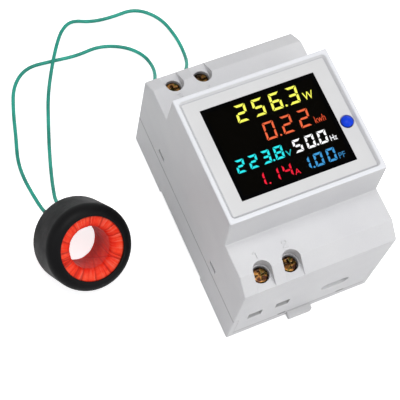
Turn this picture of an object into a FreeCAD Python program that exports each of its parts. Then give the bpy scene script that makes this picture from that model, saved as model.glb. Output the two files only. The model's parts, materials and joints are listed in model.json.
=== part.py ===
import FreeCAD, Part
import math
import os

# A three-module energy meter for a 35 mm rail, with its ring current transformer on two leads.
# Sizes are in millimetres. X runs along the rail, Y up the face and Z from the rail to the front.
# The origin is on the plane that the rail's flanges seat on, at the middle of the groove.

V = FreeCAD.Vector

# Housing outline
MODULE_WIDTH = 18.0
MODULE_COUNT = 3
BODY_HEIGHT = 80.0
WALL = 2.0
EDGE_ROUNDING = 0.5
RIM_Z = 60.8
SHOULDER_Z = 45.3
CHAMFER_RUN = 5.6
CHAMFER_DROP = 4.4
NOSE_RIM_HEIGHT = 44.5
NOSE_TAPER = 0.85
FIT_GAP = 0.1

# Seams between cover and base
SIDE_SEAM_Z = 15.5
END_SEAM_Z = 2.2
SEAM_GAP = 0.25
PRY_NOTCH_XS = (15.4, -6.9)
PRY_NOTCH_WIDTH = 3.0
PRY_NOTCH_HEIGHT = 0.8
PRY_NOTCH_DEPTH = 1.0

# Rail groove and fixed hooks
GROOVE_WIDTH = 35.2
GROOVE_DEPTH = 2.2
GROOVE_FLOOR = 2.0
RAIL_FLANGE = 1.0
FLANGE_GAP = 0.2
HOOK_REACH = 1.4
HOOK_WIDTH = 8.0
HOOK_X = 16.0

# Sprung rail clip
CLIP_WIDTH = 8.8
CLIP_SIDE_GAP = 0.2
CLIP_TOP_Z = 0.7
CLIP_BACK_GAP = 0.2
CLIP_STICK_OUT = 2.1
CLIP_WING = 1.0
CLIP_WING_BACK_Z = -0.5
CLIP_WING_START = 20.0
CLIP_WING_LENGTH = 16.0
CLIP_TRAVEL = 2.5
CLIP_ROOF = 1.2
CLIP_ROOF_GAP = 0.2
CLIP_SLOT_WIDTH = 2.6
CLIP_SLOT_START = 23.0
CLIP_WEB = 0.4
POST_LENGTH = 1.5
SPRING_LENGTH = 8.5
SPRING_DIAMETER = 2.0
SPRING_WIRE = 0.35
SPRING_TURNS = 7

# Snap latches in the side walls
LATCH_Y = 21.45
LATCH_WIDTH = 4.3
LATCH_Z = 20.1
LATCH_HEIGHT = 2.0
TONGUE_THICK = 1.2
TONGUE_GAP = 0.3
HOOK_NOSE = 1.3

# Front face
RIM_TOP_WIDTH = 1.3
RIM_SLOPE_WIDTH = 0.7
RIM_SLOPE_DEPTH = 1.0
FACE_CORNER = 0.8
PLATE_THICK = 0.5
PLATE_GAP = 0.05
FRONT_WALL = 2.0
WINDOW_LEFT_MARGIN = 4.9
WINDOW_END_MARGIN = 4.05
WINDOW_BUTTON_GAP = 0.7
WINDOW_LEDGE = 0.75
WINDOW_LIP = 0.6

# Display stack
LCD_SIDE_LAP = 0.4
LCD_END_LAP = 0.55
LCD_THICK = 2.2
LIGHT_GUIDE_THICK = 3.0
STRIP_WIDTH = 1.4
STRIP_FRAME_GAP = 0.5
FRAME_WALL = 0.7
DISPLAY_BOARD_THICK = 1.6
DISPLAY_BOARD_DROP = 5.4
BOARD_EDGE_GAP = 0.4
DISPLAY_BOSS_DIAMETER = 3.6
DISPLAY_BOSS_SIDE_INSET = 2.3
DISPLAY_BOSS_END_INSET = 1.85

# Button and its switch
BUTTON_Y = -3.3
BUTTON_DIAMETER = 4.0
BUTTON_RIM_GAP = 0.7
BUTTON_PROUD = 1.2
BUTTON_DOME = 0.9
BUTTON_FLANGE_WIDTH = 0.45
BUTTON_FLANGE_THICK = 0.8
BUTTON_HOLE_GAP = 0.15
BUTTON_PLATE_GAP = 0.3
BUTTON_TRAVEL = 0.4
SWITCH_SIDE = 4.2
SWITCH_HEIGHT = 3.4
PLUNGER_DIAMETER = 2.4
PLUNGER_GAP = 0.1
PLUNGER_SINK = 2.3

# Terminals
TERMINAL_INSET = 7.9
TERMINAL_PITCH = 10.1
TERMINAL_COLUMNS = 2
SCREW_INSET = 5.4
WELL_ARC_INSET = 5.5
WELL_STEP = 0.15
HEAD_BORE_GAP = 0.25
HEAD_DIAMETER = 5.4
HEAD_HEIGHT = 2.0
HEAD_SINK = 0.6
HEAD_SEAT_GAP = 0.05
HEAD_ROUNDING = 0.7
SLOT_WIDTH = 0.9
SLOT_DEPTH = 0.9
CROSS_LENGTH = 3.4
CROSS_DEPTH = 1.5
THREAD_DIAMETER = 3.0
THREAD_GAP = 0.05
TOWER_HOLE_GAP = 0.1
TOWER_LEDGE = 2.0
MOUTH_WIDTH = 5.0
MOUTH_HEIGHT = 4.6
MOUTH_BOTTOM_Z = 13.2
BLOCK_BOTTOM_Z = 11.0
BLOCK_MARGIN = 1.7
POCKET_GAP = 0.3
POCKET_WALL = 1.6
CAGE_WIDTH = 7.0
CAGE_LENGTH = 5.9
CAGE_WALL = 0.9
CAGE_FLOOR = 1.0
CAGE_TOP = 1.6
CAGE_END_GAP = 0.1
CAGE_BAR_GAP = 0.3
CLAMP_GAP = 0.1
BAR_Z = 17.5
BAR_THICK = 1.2
BAR_WIDTH = 4.0
BAR_OUTER_GAP = 0.4
BAR_SLOT_GAP = 0.3
BAR_LEG_GAP = 0.4
TAB_WIDTH = 2.4
TAB_LENGTH = 2.6
TIP_GAP = 0.05
NUMERAL_INSET = 10.7
NUMERAL_HEIGHT = 2.2
NUMERAL_WIDTH = 1.6
NUMERAL_STROKE = 0.4
NUMERAL_RAISE = 0.3

# Blank oval recess in the lower end wall
OVAL_X = 10.8
OVAL_Z = 14.8
OVAL_LENGTH = 10.3
OVAL_HEIGHT = 4.8
OVAL_DEPTH = 1.0

# Boards and what they carry
MAIN_BOARD_Z = 8.0
BOARD_THICK = 1.6
MAIN_BOARD_END_GAP = 1.5
BOARD_NOTCH_GAP = 0.4
STANDOFF_DIAMETER = 5.0
STANDOFF_SIDE_INSET = 4.5
STANDOFF_END_INSET = 5.0
STANDOFF_LEG_DISTANCE = 4.0
SMALL_SCREW_DIAMETER = 2.2
SMALL_SCREW_HEAD = 4.2
SMALL_SCREW_HEAD_HEIGHT = 1.4
MAIN_SCREW_LENGTH = 6.0
DISPLAY_SCREW_LENGTH = 4.0
PILOT_GAP = 0.05
BOARD_HOLE_GAP = 0.2
RISER_Y = 8.0
RISER_WIDTH = 36.0
RISER_GAP = 0.4
HEADER_WIDTH = 30.0
HEADER_DEPTH = 2.5
HEADER_HEIGHT = 2.6
HEADER_PITCH = 2.54
HEADER_PINS = 11
PIN_WIDTH = 0.6
BACKLIGHT_LED = (2.8, 1.8)
BACKLIGHT_XS = (-13.0, 0.0, 13.0)
BACKLIGHT_YS = (-8.5, 11.0)
STRIP_END_GAP = 1.0
FILM_CAPACITOR_SIDE_INSET = 14.0
FILM_CAPACITOR_END_INSET = 14.0
FILM_CAPACITOR_SIZE = (18.0, 8.0, 14.6)
FILM_CAPACITOR_ROUNDING = 0.6
FILM_CAPACITOR_LIFT = 0.4
FILM_CAPACITOR_LEG_PITCH = 15.0
BULK_CAPACITOR_SIDE_INSET = 8.0
BULK_CAPACITOR_Y = -9.0
BULK_CAPACITOR_DIAMETER = 10.0
BULK_CAPACITOR_HEIGHT = 16.0
BULK_CAPACITOR_ROUNDING = 0.8
VARISTOR_PLACE = (-6.0, -20.0)
VARISTOR_DIAMETER = 10.0
VARISTOR_THICK = 3.6
VARISTOR_ROUNDING = 1.2
VARISTOR_LIFT = 2.0
VARISTOR_LEG_PITCH = 5.0
LEG_DIAMETER = 0.8
LEG_LENGTH = 2.4
TRANSFORMER_SIDE_INSET = 14.0
TRANSFORMER_END_INSET = 16.0
TRANSFORMER_SIZE = (18.0, 12.0, 14.0)
TRANSFORMER_LIFT = 1.2
TRANSFORMER_YOKE = 3.0
TRANSFORMER_LEG = 4.8
BOBBIN_GAP = 0.1
BOBBIN_OVERHANG = 1.4
BOBBIN_FOOT = 1.3
METERING_CHIP_PLACE = (-13.0, -4.0)
METERING_CHIP_SIZE = (12.8, 7.5, 2.4)
METERING_CHIP_LEGS = 10
RECTIFIER_PLACE = (-14.0, -16.0)
RECTIFIER_SIZE = (5.0, 4.6, 2.6)
RECTIFIER_LEGS = 2
CONTROLLER_PLACE = (-6.0, -8.0)
CONTROLLER_SIZE = (10.0, 10.0, 1.5)
CONTROLLER_LEGS = 12
CHIP_LIFT = 0.2
CHIP_LEG_WIDTH = 0.4
CHIP_LEG_REACH = 1.0
CHIP_LEG_HEIGHT = 0.6
CRYSTAL_PLACE = (-14.5, 14.2)
CRYSTAL_SIZE = (11.0, 4.4, 3.5)
CRYSTAL_ROUNDING = 1.2
CRYSTAL_LEG_PITCH = 5.0
RESISTOR_SIZE = (3.2, 1.6, 0.6)
RESISTOR_Y = 22.3
RESISTOR_XS = (-14.0, -9.5, -5.0)

# Leads of the current transformer
LEAD_DIAMETER = 1.3
CORE_DIAMETER = 0.8
CORE_LENGTH = 5.9
LEAD_START_INSET = 1.1

# Current transformer
RING_X = -62.1
RING_Y = 4.5
RING_TILT = 37.5
RING_HEADING = 10.3
RING_DIAMETER = 29.8
RING_HEIGHT = 19.4
RING_ROUNDING = 3.9
RING_WALL = 1.2
BORE_DIAMETER = 14.2
BORE_STRAIGHT = 13.0
TAPE_THICK = 0.8
TAPE_SINK = 0.6
TAPE_ROUNDING = 2.2
WINDING_BORE_GAP = 0.7
WINDING_SIDE_GAP = 0.4
WINDING_END_GAP = 2.3
WINDING_SIDE_THICK = 1.0
WINDING_END_THICK = 1.4
WINDING_ROUNDING = 1.9
LEAD_EXIT_OFFSET = 1.0
LEAD_EXIT_ANGLES = (-5.0, 20.0)
GROMMET_DIAMETER = 2.8
GROMMET_BORE = 1.7
GROMMET_SINK = 2.3
GROMMET_PROUD = 1.3
GROMMET_BORE_DEPTH = 1.6

# Chosen points of the two leads, from the clamp to the ring
LEAD_A = (
    (-9.0, 38.9, 17.0),
    (-9.0, 43.6, 17.0),
    (-6.4, 50.0, 13.2),
    (-0.4, 56.0, 6.4),
    (2.6, 64.2, 0.4),
    (3.0, 72.8, -1.4),
    (0.6, 82.2, -1.5),
    (-6.8, 89.0, -1.5),
    (-16.8, 88.4, -1.5),
    (-24.6, 89.2, -1.4),
    (-31.0, 91.8, -0.8),
    (-36.0, 89.0, 0.2),
    (-40.4, 83.2, 0.5),
    (-45.2, 75.4, 0.4),
    (-50.2, 66.2, -1.3),
    (-54.2, 55.4, -1.5),
    (-57.8, 45.2, -0.7),
    (-61.0, 35.2, 2.8),
    (-63.1, 28.0, 6.4),
    (-64.3, 22.6, 8.9),
    (-63.86, 20.01, 12.34),
)
LEAD_B = (
    (-19.1, 38.9, 17.0),
    (-19.1, 43.4, 17.0),
    (-17.6, 49.2, 13.8),
    (-13.6, 55.2, 8.4),
    (-11.0, 62.2, 2.4),
    (-11.4, 69.8, -1.2),
    (-16.6, 75.4, -1.5),
    (-25.4, 78.8, -1.5),
    (-34.6, 77.8, -1.5),
    (-44.0, 78.9, -1.5),
    (-53.6, 79.6, -1.5),
    (-60.4, 74.2, -1.5),
    (-64.0, 64.6, -1.5),
    (-66.6, 55.0, -1.4),
    (-69.4, 46.0, -0.6),
    (-70.4, 37.6, 3.2),
    (-70.2, 29.2, 6.6),
    (-69.3, 21.3, 8.4),
    (-68.83, 18.56, 11.93),
)

# Places that follow from the sizes above
BODY_WIDTH = MODULE_WIDTH * MODULE_COUNT
HALF_WIDTH = BODY_WIDTH / 2
HALF_HEIGHT = BODY_HEIGHT / 2
BACK_Z = -GROOVE_DEPTH
INNER_X = HALF_WIDTH - WALL
INNER_Y = HALF_HEIGHT - WALL
NOSE_INNER_Y = NOSE_RIM_HEIGHT / 2 - WALL
OUTER_EDGE_Z = SHOULDER_Z - CHAMFER_DROP
GROOVE_HALF = GROOVE_WIDTH / 2
PLATE_X = HALF_WIDTH - RIM_TOP_WIDTH - RIM_SLOPE_WIDTH
PLATE_Y = NOSE_RIM_HEIGHT / 2 - RIM_TOP_WIDTH - RIM_SLOPE_WIDTH
BUTTON_X = PLATE_X - BUTTON_RIM_GAP - BUTTON_DIAMETER / 2
BUTTON_FLANGE_DIAMETER = BUTTON_DIAMETER + 2 * BUTTON_FLANGE_WIDTH
WINDOW_LEFT = WINDOW_LEFT_MARGIN - PLATE_X
WINDOW_RIGHT = BUTTON_X - BUTTON_DIAMETER / 2 - WINDOW_BUTTON_GAP
WINDOW_X = (WINDOW_LEFT + WINDOW_RIGHT) / 2
WINDOW_WIDTH = WINDOW_RIGHT - WINDOW_LEFT
WINDOW_HEIGHT = 2 * (PLATE_Y - WINDOW_END_MARGIN)
LCD_WIDTH = WINDOW_WIDTH - 2 * WINDOW_LEDGE + 2 * LCD_SIDE_LAP
LCD_HEIGHT = WINDOW_HEIGHT - 2 * WINDOW_LEDGE + 2 * LCD_END_LAP
LIGHT_GUIDE_HEIGHT = LCD_HEIGHT - 2 * (STRIP_WIDTH + FIT_GAP + STRIP_FRAME_GAP)
DISPLAY_BOSS_X = INNER_X - DISPLAY_BOSS_SIDE_INSET
DISPLAY_BOSS_Y = NOSE_INNER_Y - DISPLAY_BOSS_END_INSET
FACE_Z = RIM_Z - RIM_SLOPE_DEPTH
PLATE_SEAT_Z = FACE_Z - PLATE_THICK
FRONT_WALL_Z = PLATE_SEAT_Z - FRONT_WALL
LCD_FRONT_Z = PLATE_SEAT_Z - WINDOW_LIP
LCD_BACK_Z = LCD_FRONT_Z - LCD_THICK
DISPLAY_BOARD_TOP = FRONT_WALL_Z - DISPLAY_BOARD_DROP
DISPLAY_BOARD_BACK = DISPLAY_BOARD_TOP - DISPLAY_BOARD_THICK
MAIN_BOARD_TOP = MAIN_BOARD_Z + BOARD_THICK
MAIN_BOARD_HALF_X = INNER_X - BOARD_EDGE_GAP
MAIN_BOARD_HALF_Y = INNER_Y - MAIN_BOARD_END_GAP
COLUMN_XS = [-HALF_WIDTH + TERMINAL_INSET + TERMINAL_PITCH * i for i in range(TERMINAL_COLUMNS)]
SCREW_Y = HALF_HEIGHT - SCREW_INSET
WELL_ARC_Y = HALF_HEIGHT - WELL_ARC_INSET
NUMERAL_Y = HALF_HEIGHT - NUMERAL_INSET
HEAD_BORE_DIAMETER = HEAD_DIAMETER + 2 * HEAD_BORE_GAP
WELL_RADIUS = HEAD_BORE_DIAMETER / 2 + WELL_STEP
TOWER_HOLE_DIAMETER = THREAD_DIAMETER + 2 * TOWER_HOLE_GAP
HEAD_TOP_Z = OUTER_EDGE_Z - HEAD_SINK
HEAD_SEAT_Z = HEAD_TOP_Z - HEAD_HEIGHT
LEDGE_Z = HEAD_SEAT_Z - HEAD_SEAT_GAP
TOWER_BOTTOM_Z = LEDGE_Z - TOWER_LEDGE
BAR_TOP_Z = BAR_Z + BAR_THICK
POCKET_INNER_Y = INNER_Y - CAGE_END_GAP - CAGE_LENGTH - POCKET_GAP
BLOCK_INNER_Y = POCKET_INNER_Y - POCKET_WALL
BAR_LEG_Y = BLOCK_INNER_Y - BAR_LEG_GAP - BAR_THICK
CAGE_CLAMPED_RISE = BAR_Z - CORE_DIAMETER - 2 * CLAMP_GAP - MOUTH_BOTTOM_Z
LEAD_Z = BAR_Z - CLAMP_GAP - CORE_DIAMETER / 2
LEAD_START_Y = HALF_HEIGHT - LEAD_START_INSET
STANDOFF_X = INNER_X - STANDOFF_SIDE_INSET
STANDOFF_END_Y = INNER_Y - STANDOFF_END_INSET
STANDOFF_LEG_Y = BAR_LEG_Y - STANDOFF_LEG_DISTANCE
STANDOFFS = [(-STANDOFF_X, STANDOFF_LEG_Y), (-STANDOFF_X, -STANDOFF_LEG_Y),
             (STANDOFF_X, STANDOFF_END_Y), (STANDOFF_X, -STANDOFF_END_Y)]
FILM_CAPACITOR_PLACE = (INNER_X - FILM_CAPACITOR_SIDE_INSET, FILM_CAPACITOR_END_INSET - INNER_Y)
BULK_CAPACITOR_PLACE = (INNER_X - BULK_CAPACITOR_SIDE_INSET, BULK_CAPACITOR_Y)
TRANSFORMER_PLACE = (INNER_X - TRANSFORMER_SIDE_INSET, INNER_Y - TRANSFORMER_END_INSET)
HOOK_Z = -RAIL_FLANGE - FLANGE_GAP
CLIP_BACK_Z = BACK_Z + CLIP_BACK_GAP
CLIP_HALF = CLIP_WIDTH / 2
CHAMBER_TOP_Z = CLIP_TOP_Z + CLIP_ROOF_GAP
POST_Y = CLIP_SLOT_START + SPRING_LENGTH
RING_LIP = RING_DIAMETER / 2 - RING_ROUNDING
WINDING_INNER_DIAMETER = BORE_DIAMETER + 2 * TAPE_THICK + 2 * WINDING_BORE_GAP
WINDING_OUTER_DIAMETER = RING_DIAMETER - 2 * RING_WALL - 2 * WINDING_SIDE_GAP
WINDING_HEIGHT = RING_HEIGHT - 2 * RING_WALL - 2 * WINDING_END_GAP
CORE_INNER_DIAMETER = WINDING_INNER_DIAMETER + 2 * WINDING_SIDE_THICK
CORE_OUTER_DIAMETER = WINDING_OUTER_DIAMETER - 2 * WINDING_SIDE_THICK
CORE_HEIGHT = WINDING_HEIGHT - 2 * WINDING_END_THICK
LEAD_EXIT_RADIUS = RING_LIP + LEAD_EXIT_OFFSET
GROMMET_INNER = RING_HEIGHT / 2 - GROMMET_SINK
GROMMET_OUTER = RING_HEIGHT / 2 + GROMMET_PROUD


# Helpers

def box(x0, x1, y0, y1, z0, z1):
    return Part.makeBox(x1 - x0, y1 - y0, z1 - z0, V(x0, y0, z0))


def rod(x, y, z0, z1, diameter):
    return Part.makeCylinder(diameter / 2, z1 - z0, V(x, y, z0))


def prism_x(points, x0, x1):
    corners = [V(x0, y, z) for y, z in points]
    face = Part.Face(Part.makePolygon(corners + corners[:1]))
    return face.extrude(V(x1 - x0, 0, 0))


def fuse(shapes):
    return shapes[0].multiFuse(shapes[1:]).removeSplitter()


def cut(shape, tools):
    for tool in tools:
        shape = shape.cut(tool)
    return shape


def save(name, *solids):
    shape = solids[0] if len(solids) == 1 else Part.makeCompound(list(solids))
    if shape.ShapeType == "Compound" and len(shape.Solids) == 1:
        shape = shape.Solids[0]
    if not shape.isValid():
        raise ValueError(name + " is not a valid shape")
    shape.exportStep("parts/" + name + ".step")
    print(name, len(shape.Solids), "solids", round(shape.Volume, 2), "mm3")
    return shape


def rounded_rectangle(half_x, half_y, z, corner):
    x = half_x - corner
    y = half_y - corner
    diagonal = corner * math.sqrt(0.5)
    edges = []
    for sx, sy, along_x in ((1, 1, False), (-1, 1, True), (-1, -1, False), (1, -1, True)):
        side = V(sx * half_x, sy * y, z)
        top = V(sx * x, sy * half_y, z)
        start, end = (top, side) if along_x else (side, top)
        middle = V(sx * (x + diagonal), sy * (y + diagonal), z)
        if edges:
            edges.append(Part.makeLine(edges[-1].lastVertex().Point, start))
        edges.append(Part.Arc(start, middle, end).toShape())
    edges.append(Part.makeLine(edges[-1].lastVertex().Point, edges[0].firstVertex().Point))
    return Part.Wire(edges)


def inset(points, gap):
    # Moves each side of a closed outline inwards; the points run anticlockwise.
    moved = []
    count = len(points)
    for i in range(count):
        before, here, after = points[i - 1], points[i], points[(i + 1) % count]
        ux, uy = here[0] - before[0], here[1] - before[1]
        wx, wy = after[0] - here[0], after[1] - here[1]
        u_length, w_length = math.hypot(ux, uy), math.hypot(wx, wy)
        ux, uy, wx, wy = ux / u_length, uy / u_length, wx / w_length, wy / w_length
        cosine = ux * wx + uy * wy
        shift_x = (-uy - wy) / (1 + cosine) * gap
        shift_y = (ux + wx) / (1 + cosine) * gap
        moved.append((here[0] + shift_x, here[1] + shift_y))
    return moved


def body_outline():
    rim = NOSE_RIM_HEIGHT / 2
    foot = rim + NOSE_TAPER
    fold = HALF_HEIGHT - CHAMFER_RUN
    return [
        (-HALF_HEIGHT, BACK_Z),
        (HALF_HEIGHT, BACK_Z),
        (HALF_HEIGHT, OUTER_EDGE_Z),
        (fold, SHOULDER_Z),
        (foot, SHOULDER_Z),
        (rim, RIM_Z),
        (-rim, RIM_Z),
        (-foot, SHOULDER_Z),
        (-fold, SHOULDER_Z),
        (-HALF_HEIGHT, OUTER_EDGE_Z),
    ]


def body_block():
    block = prism_x(body_outline(), -HALF_WIDTH, HALF_WIDTH)
    return block.makeFillet(EDGE_ROUNDING, block.Edges)


def ends():
    # The upper and lower ends of the housing, as the sign of Y.
    return (1, -1)


def end_box(x0, x1, side, near_y, far_y, z0, z1):
    y0, y1 = sorted((side * near_y, side * far_y))
    return box(x0, x1, y0, y1, z0, z1)


# Front cover

def numeral_strokes(value):
    shapes = {
        1: [((-0.5, 0.28), (0.1, 0.5)), ((0.1, 0.5), (0.1, -0.5))],
        2: [((-0.5, 0.3), (-0.25, 0.5)), ((-0.25, 0.5), (0.25, 0.5)), ((0.25, 0.5), (0.5, 0.25)),
            ((0.5, 0.25), (0.4, 0.0)), ((0.4, 0.0), (-0.5, -0.5)), ((-0.5, -0.5), (0.5, -0.5))],
        3: [((-0.5, 0.5), (0.5, 0.5)), ((0.5, 0.5), (-0.05, 0.1)), ((-0.05, 0.1), (0.35, 0.0)),
            ((0.35, 0.0), (0.5, -0.25)), ((0.5, -0.25), (0.2, -0.5)), ((0.2, -0.5), (-0.5, -0.4))],
        4: [((0.2, -0.5), (0.2, 0.5)), ((0.2, 0.5), (-0.5, -0.2)), ((-0.5, -0.2), (0.5, -0.2))],
    }
    return shapes[value]


def numeral(value, x, y):
    strokes = []
    floor_z = SHOULDER_Z - NUMERAL_RAISE
    height = 2 * NUMERAL_RAISE
    for start, end in numeral_strokes(value):
        x0, y0 = x + start[0] * NUMERAL_WIDTH, y + start[1] * NUMERAL_HEIGHT
        x1, y1 = x + end[0] * NUMERAL_WIDTH, y + end[1] * NUMERAL_HEIGHT
        length = math.hypot(x1 - x0, y1 - y0)
        bar = Part.makeBox(length, NUMERAL_STROKE, height, V(0, -NUMERAL_STROKE / 2, 0))
        turn = math.degrees(math.atan2(y1 - y0, x1 - x0))
        bar.Placement = FreeCAD.Placement(V(x0, y0, floor_z), FreeCAD.Rotation(V(0, 0, 1), turn))
        strokes.append(bar)
        for px, py in ((x0, y0), (x1, y1)):
            strokes.append(rod(px, py, floor_z, floor_z + height, NUMERAL_STROKE))
    return fuse(strokes)


def terminal_block(side, body):
    left = -INNER_X - FIT_GAP
    right = COLUMN_XS[-1] + CAGE_WIDTH / 2 + POCKET_GAP + BLOCK_MARGIN
    upper = end_box(left, right, side, BLOCK_INNER_Y, INNER_Y + FIT_GAP, TOWER_BOTTOM_Z, SHOULDER_Z)
    lower = end_box(-INNER_X + FIT_GAP, right, side, BLOCK_INNER_Y, INNER_Y + FIT_GAP,
                    BLOCK_BOTTOM_Z, TOWER_BOTTOM_Z)
    return upper.fuse(lower).common(body)


def terminal_cuts(side, x):
    well_round = rod(x, side * WELL_ARC_Y, OUTER_EDGE_Z, RIM_Z, 2 * WELL_RADIUS)
    well_open = end_box(x - WELL_RADIUS, x + WELL_RADIUS, side, WELL_ARC_Y, HALF_HEIGHT + WALL,
                        OUTER_EDGE_Z, RIM_Z)
    head_bore = rod(x, side * SCREW_Y, LEDGE_Z, OUTER_EDGE_Z + WALL, HEAD_BORE_DIAMETER)
    screw_hole = rod(x, side * SCREW_Y, TOWER_BOTTOM_Z - WALL, LEDGE_Z, TOWER_HOLE_DIAMETER)
    pocket_half = CAGE_WIDTH / 2 + POCKET_GAP
    pocket = end_box(x - pocket_half, x + pocket_half, side, POCKET_INNER_Y, INNER_Y,
                     BLOCK_BOTTOM_Z, TOWER_BOTTOM_Z)
    slot_half = BAR_WIDTH / 2 + BAR_SLOT_GAP
    bar_slot = end_box(x - slot_half, x + slot_half, side, BLOCK_INNER_Y, POCKET_INNER_Y,
                       BLOCK_BOTTOM_Z, BAR_TOP_Z + BAR_SLOT_GAP)
    mouth = end_box(x - MOUTH_WIDTH / 2, x + MOUTH_WIDTH / 2, side, INNER_Y, HALF_HEIGHT,
                    MOUTH_BOTTOM_Z, MOUTH_BOTTOM_Z + MOUTH_HEIGHT)
    return [well_round, well_open, head_bore, screw_hole, pocket, bar_slot, mouth]


def latch_windows():
    windows = []
    for sx in (1, -1):
        for sy in ends():
            x0, x1 = sorted((sx * (INNER_X - WALL), sx * (HALF_WIDTH + WALL)))
            windows.append(box(x0, x1, sy * LATCH_Y - LATCH_WIDTH / 2, sy * LATCH_Y + LATCH_WIDTH / 2,
                               LATCH_Z, LATCH_Z + LATCH_HEIGHT))
    return windows


def face_cuts():
    slope = Part.makeLoft([
        rounded_rectangle(PLATE_X, PLATE_Y, FACE_Z, FACE_CORNER),
        rounded_rectangle(PLATE_X + RIM_SLOPE_WIDTH, PLATE_Y + RIM_SLOPE_WIDTH, RIM_Z,
                          FACE_CORNER + RIM_SLOPE_WIDTH),
    ], True, True)
    seat = Part.Face(rounded_rectangle(PLATE_X, PLATE_Y, PLATE_SEAT_Z, FACE_CORNER))
    seat = seat.extrude(V(0, 0, PLATE_THICK))
    clear_x = WINDOW_WIDTH / 2 - WINDOW_LEDGE
    clear_y = WINDOW_HEIGHT / 2 - WINDOW_LEDGE
    view = box(WINDOW_X - clear_x, WINDOW_X + clear_x, -clear_y, clear_y, LCD_FRONT_Z, PLATE_SEAT_Z)
    lcd_x = LCD_WIDTH / 2 + FIT_GAP
    lcd_y = LCD_HEIGHT / 2 + FIT_GAP
    pocket = box(WINDOW_X - lcd_x, WINDOW_X + lcd_x, -lcd_y, lcd_y, FRONT_WALL_Z, LCD_FRONT_Z)
    button = rod(BUTTON_X, BUTTON_Y, FRONT_WALL_Z, PLATE_SEAT_Z, BUTTON_DIAMETER + 2 * BUTTON_HOLE_GAP)
    return [slope, seat, view, pocket, button]


def display_boss_places():
    return [(sx * DISPLAY_BOSS_X, sy * DISPLAY_BOSS_Y) for sx in (1, -1) for sy in (1, -1)]


def oval_recess():
    half = (OVAL_LENGTH - OVAL_HEIGHT) / 2
    radius = OVAL_HEIGHT / 2
    depth = V(0, OVAL_DEPTH, 0)
    start = -HALF_HEIGHT
    middle = box(OVAL_X - half, OVAL_X + half, start, start + OVAL_DEPTH, OVAL_Z - radius, OVAL_Z + radius)
    caps = [Part.makeCylinder(radius, OVAL_DEPTH, V(OVAL_X + s * half, start, OVAL_Z), depth)
            for s in (1, -1)]
    return fuse([middle] + caps)


def front_cover(body):
    keep = fuse([
        box(-HALF_WIDTH - WALL, HALF_WIDTH + WALL, -HALF_HEIGHT - WALL, HALF_HEIGHT + WALL,
            SIDE_SEAM_Z + SEAM_GAP, RIM_Z + WALL),
        box(-INNER_X + FIT_GAP, INNER_X - FIT_GAP, -HALF_HEIGHT - WALL, HALF_HEIGHT + WALL,
            END_SEAM_Z, SIDE_SEAM_Z + WALL),
    ])
    cavity = prism_x(inset(body_outline(), WALL), -INNER_X, INNER_X)
    cavity = cavity.common(box(-INNER_X, INNER_X, -HALF_HEIGHT, HALF_HEIGHT, BACK_Z, FRONT_WALL_Z))
    cover = body.common(keep).cut(cavity)
    cover = fuse([cover] + [terminal_block(side, body) for side in ends()])
    for side in ends():
        for x in COLUMN_XS:
            cover = cut(cover, terminal_cuts(side, x))
    bosses = [rod(x, y, DISPLAY_BOARD_TOP, FRONT_WALL_Z, DISPLAY_BOSS_DIAMETER)
              for x, y in display_boss_places()]
    cover = fuse([cover] + bosses)
    pilot = SMALL_SCREW_DIAMETER + 2 * PILOT_GAP
    pilots = [rod(x, y, DISPLAY_BOARD_TOP, DISPLAY_BOARD_TOP + DISPLAY_SCREW_LENGTH, pilot)
              for x, y in display_boss_places()]
    cover = cut(cover, pilots + face_cuts() + latch_windows() + [oval_recess()])
    for side in ends():
        for x in PRY_NOTCH_XS:
            cover = cover.cut(end_box(x - PRY_NOTCH_WIDTH / 2, x + PRY_NOTCH_WIDTH / 2, side,
                                      HALF_HEIGHT - PRY_NOTCH_DEPTH, HALF_HEIGHT,
                                      END_SEAM_Z, END_SEAM_Z + PRY_NOTCH_HEIGHT))
    numerals = []
    for row, side in enumerate((-1, 1)):
        for column, x in enumerate(COLUMN_XS):
            numerals.append(numeral(1 + column + TERMINAL_COLUMNS * row, x, side * NUMERAL_Y))
    return fuse([cover] + numerals)


# Base with the rail groove

def snap_tongue(sx, sy):
    half = LATCH_WIDTH / 2 - TONGUE_GAP
    top = LATCH_Z + LATCH_HEIGHT - TONGUE_GAP
    outer = INNER_X - FIT_GAP
    x0, x1 = sorted((sx * (outer - TONGUE_THICK), sx * outer))
    blade = box(x0, x1, sy * LATCH_Y - half, sy * LATCH_Y + half, BACK_Z + WALL / 2, top)
    x0, x1 = sorted((sx * (outer - TONGUE_THICK / 2), sx * (INNER_X + FIT_GAP)))
    root = box(x0, x1, sy * LATCH_Y - half, sy * LATCH_Y + half, BACK_Z + WALL / 2, SIDE_SEAM_Z)
    low = LATCH_Z + TONGUE_GAP
    catch = [V(sx * (outer - FIT_GAP), 0, low), V(sx * (outer + HOOK_NOSE), 0, low),
             V(sx * (outer - FIT_GAP), 0, top)]
    hook = Part.Face(Part.makePolygon(catch + catch[:1])).extrude(V(0, 2 * half, 0))
    hook.translate(V(0, sy * LATCH_Y - half, 0))
    return fuse([blade, root, hook])


def clip_channel_cuts():
    slot = CLIP_HALF + CLIP_SIDE_GAP
    wing = CLIP_HALF + CLIP_WING + CLIP_SIDE_GAP
    stop = CLIP_WING_START + CLIP_WING_LENGTH + CLIP_TRAVEL + FIT_GAP
    open_slot = box(-slot, slot, -HALF_HEIGHT, -GROOVE_HALF, BACK_Z, CHAMBER_TOP_Z)
    chamber = box(-wing, wing, -stop, -GROOVE_HALF, CLIP_WING_BACK_Z - FIT_GAP, CHAMBER_TOP_Z)
    return [open_slot, chamber]


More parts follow.
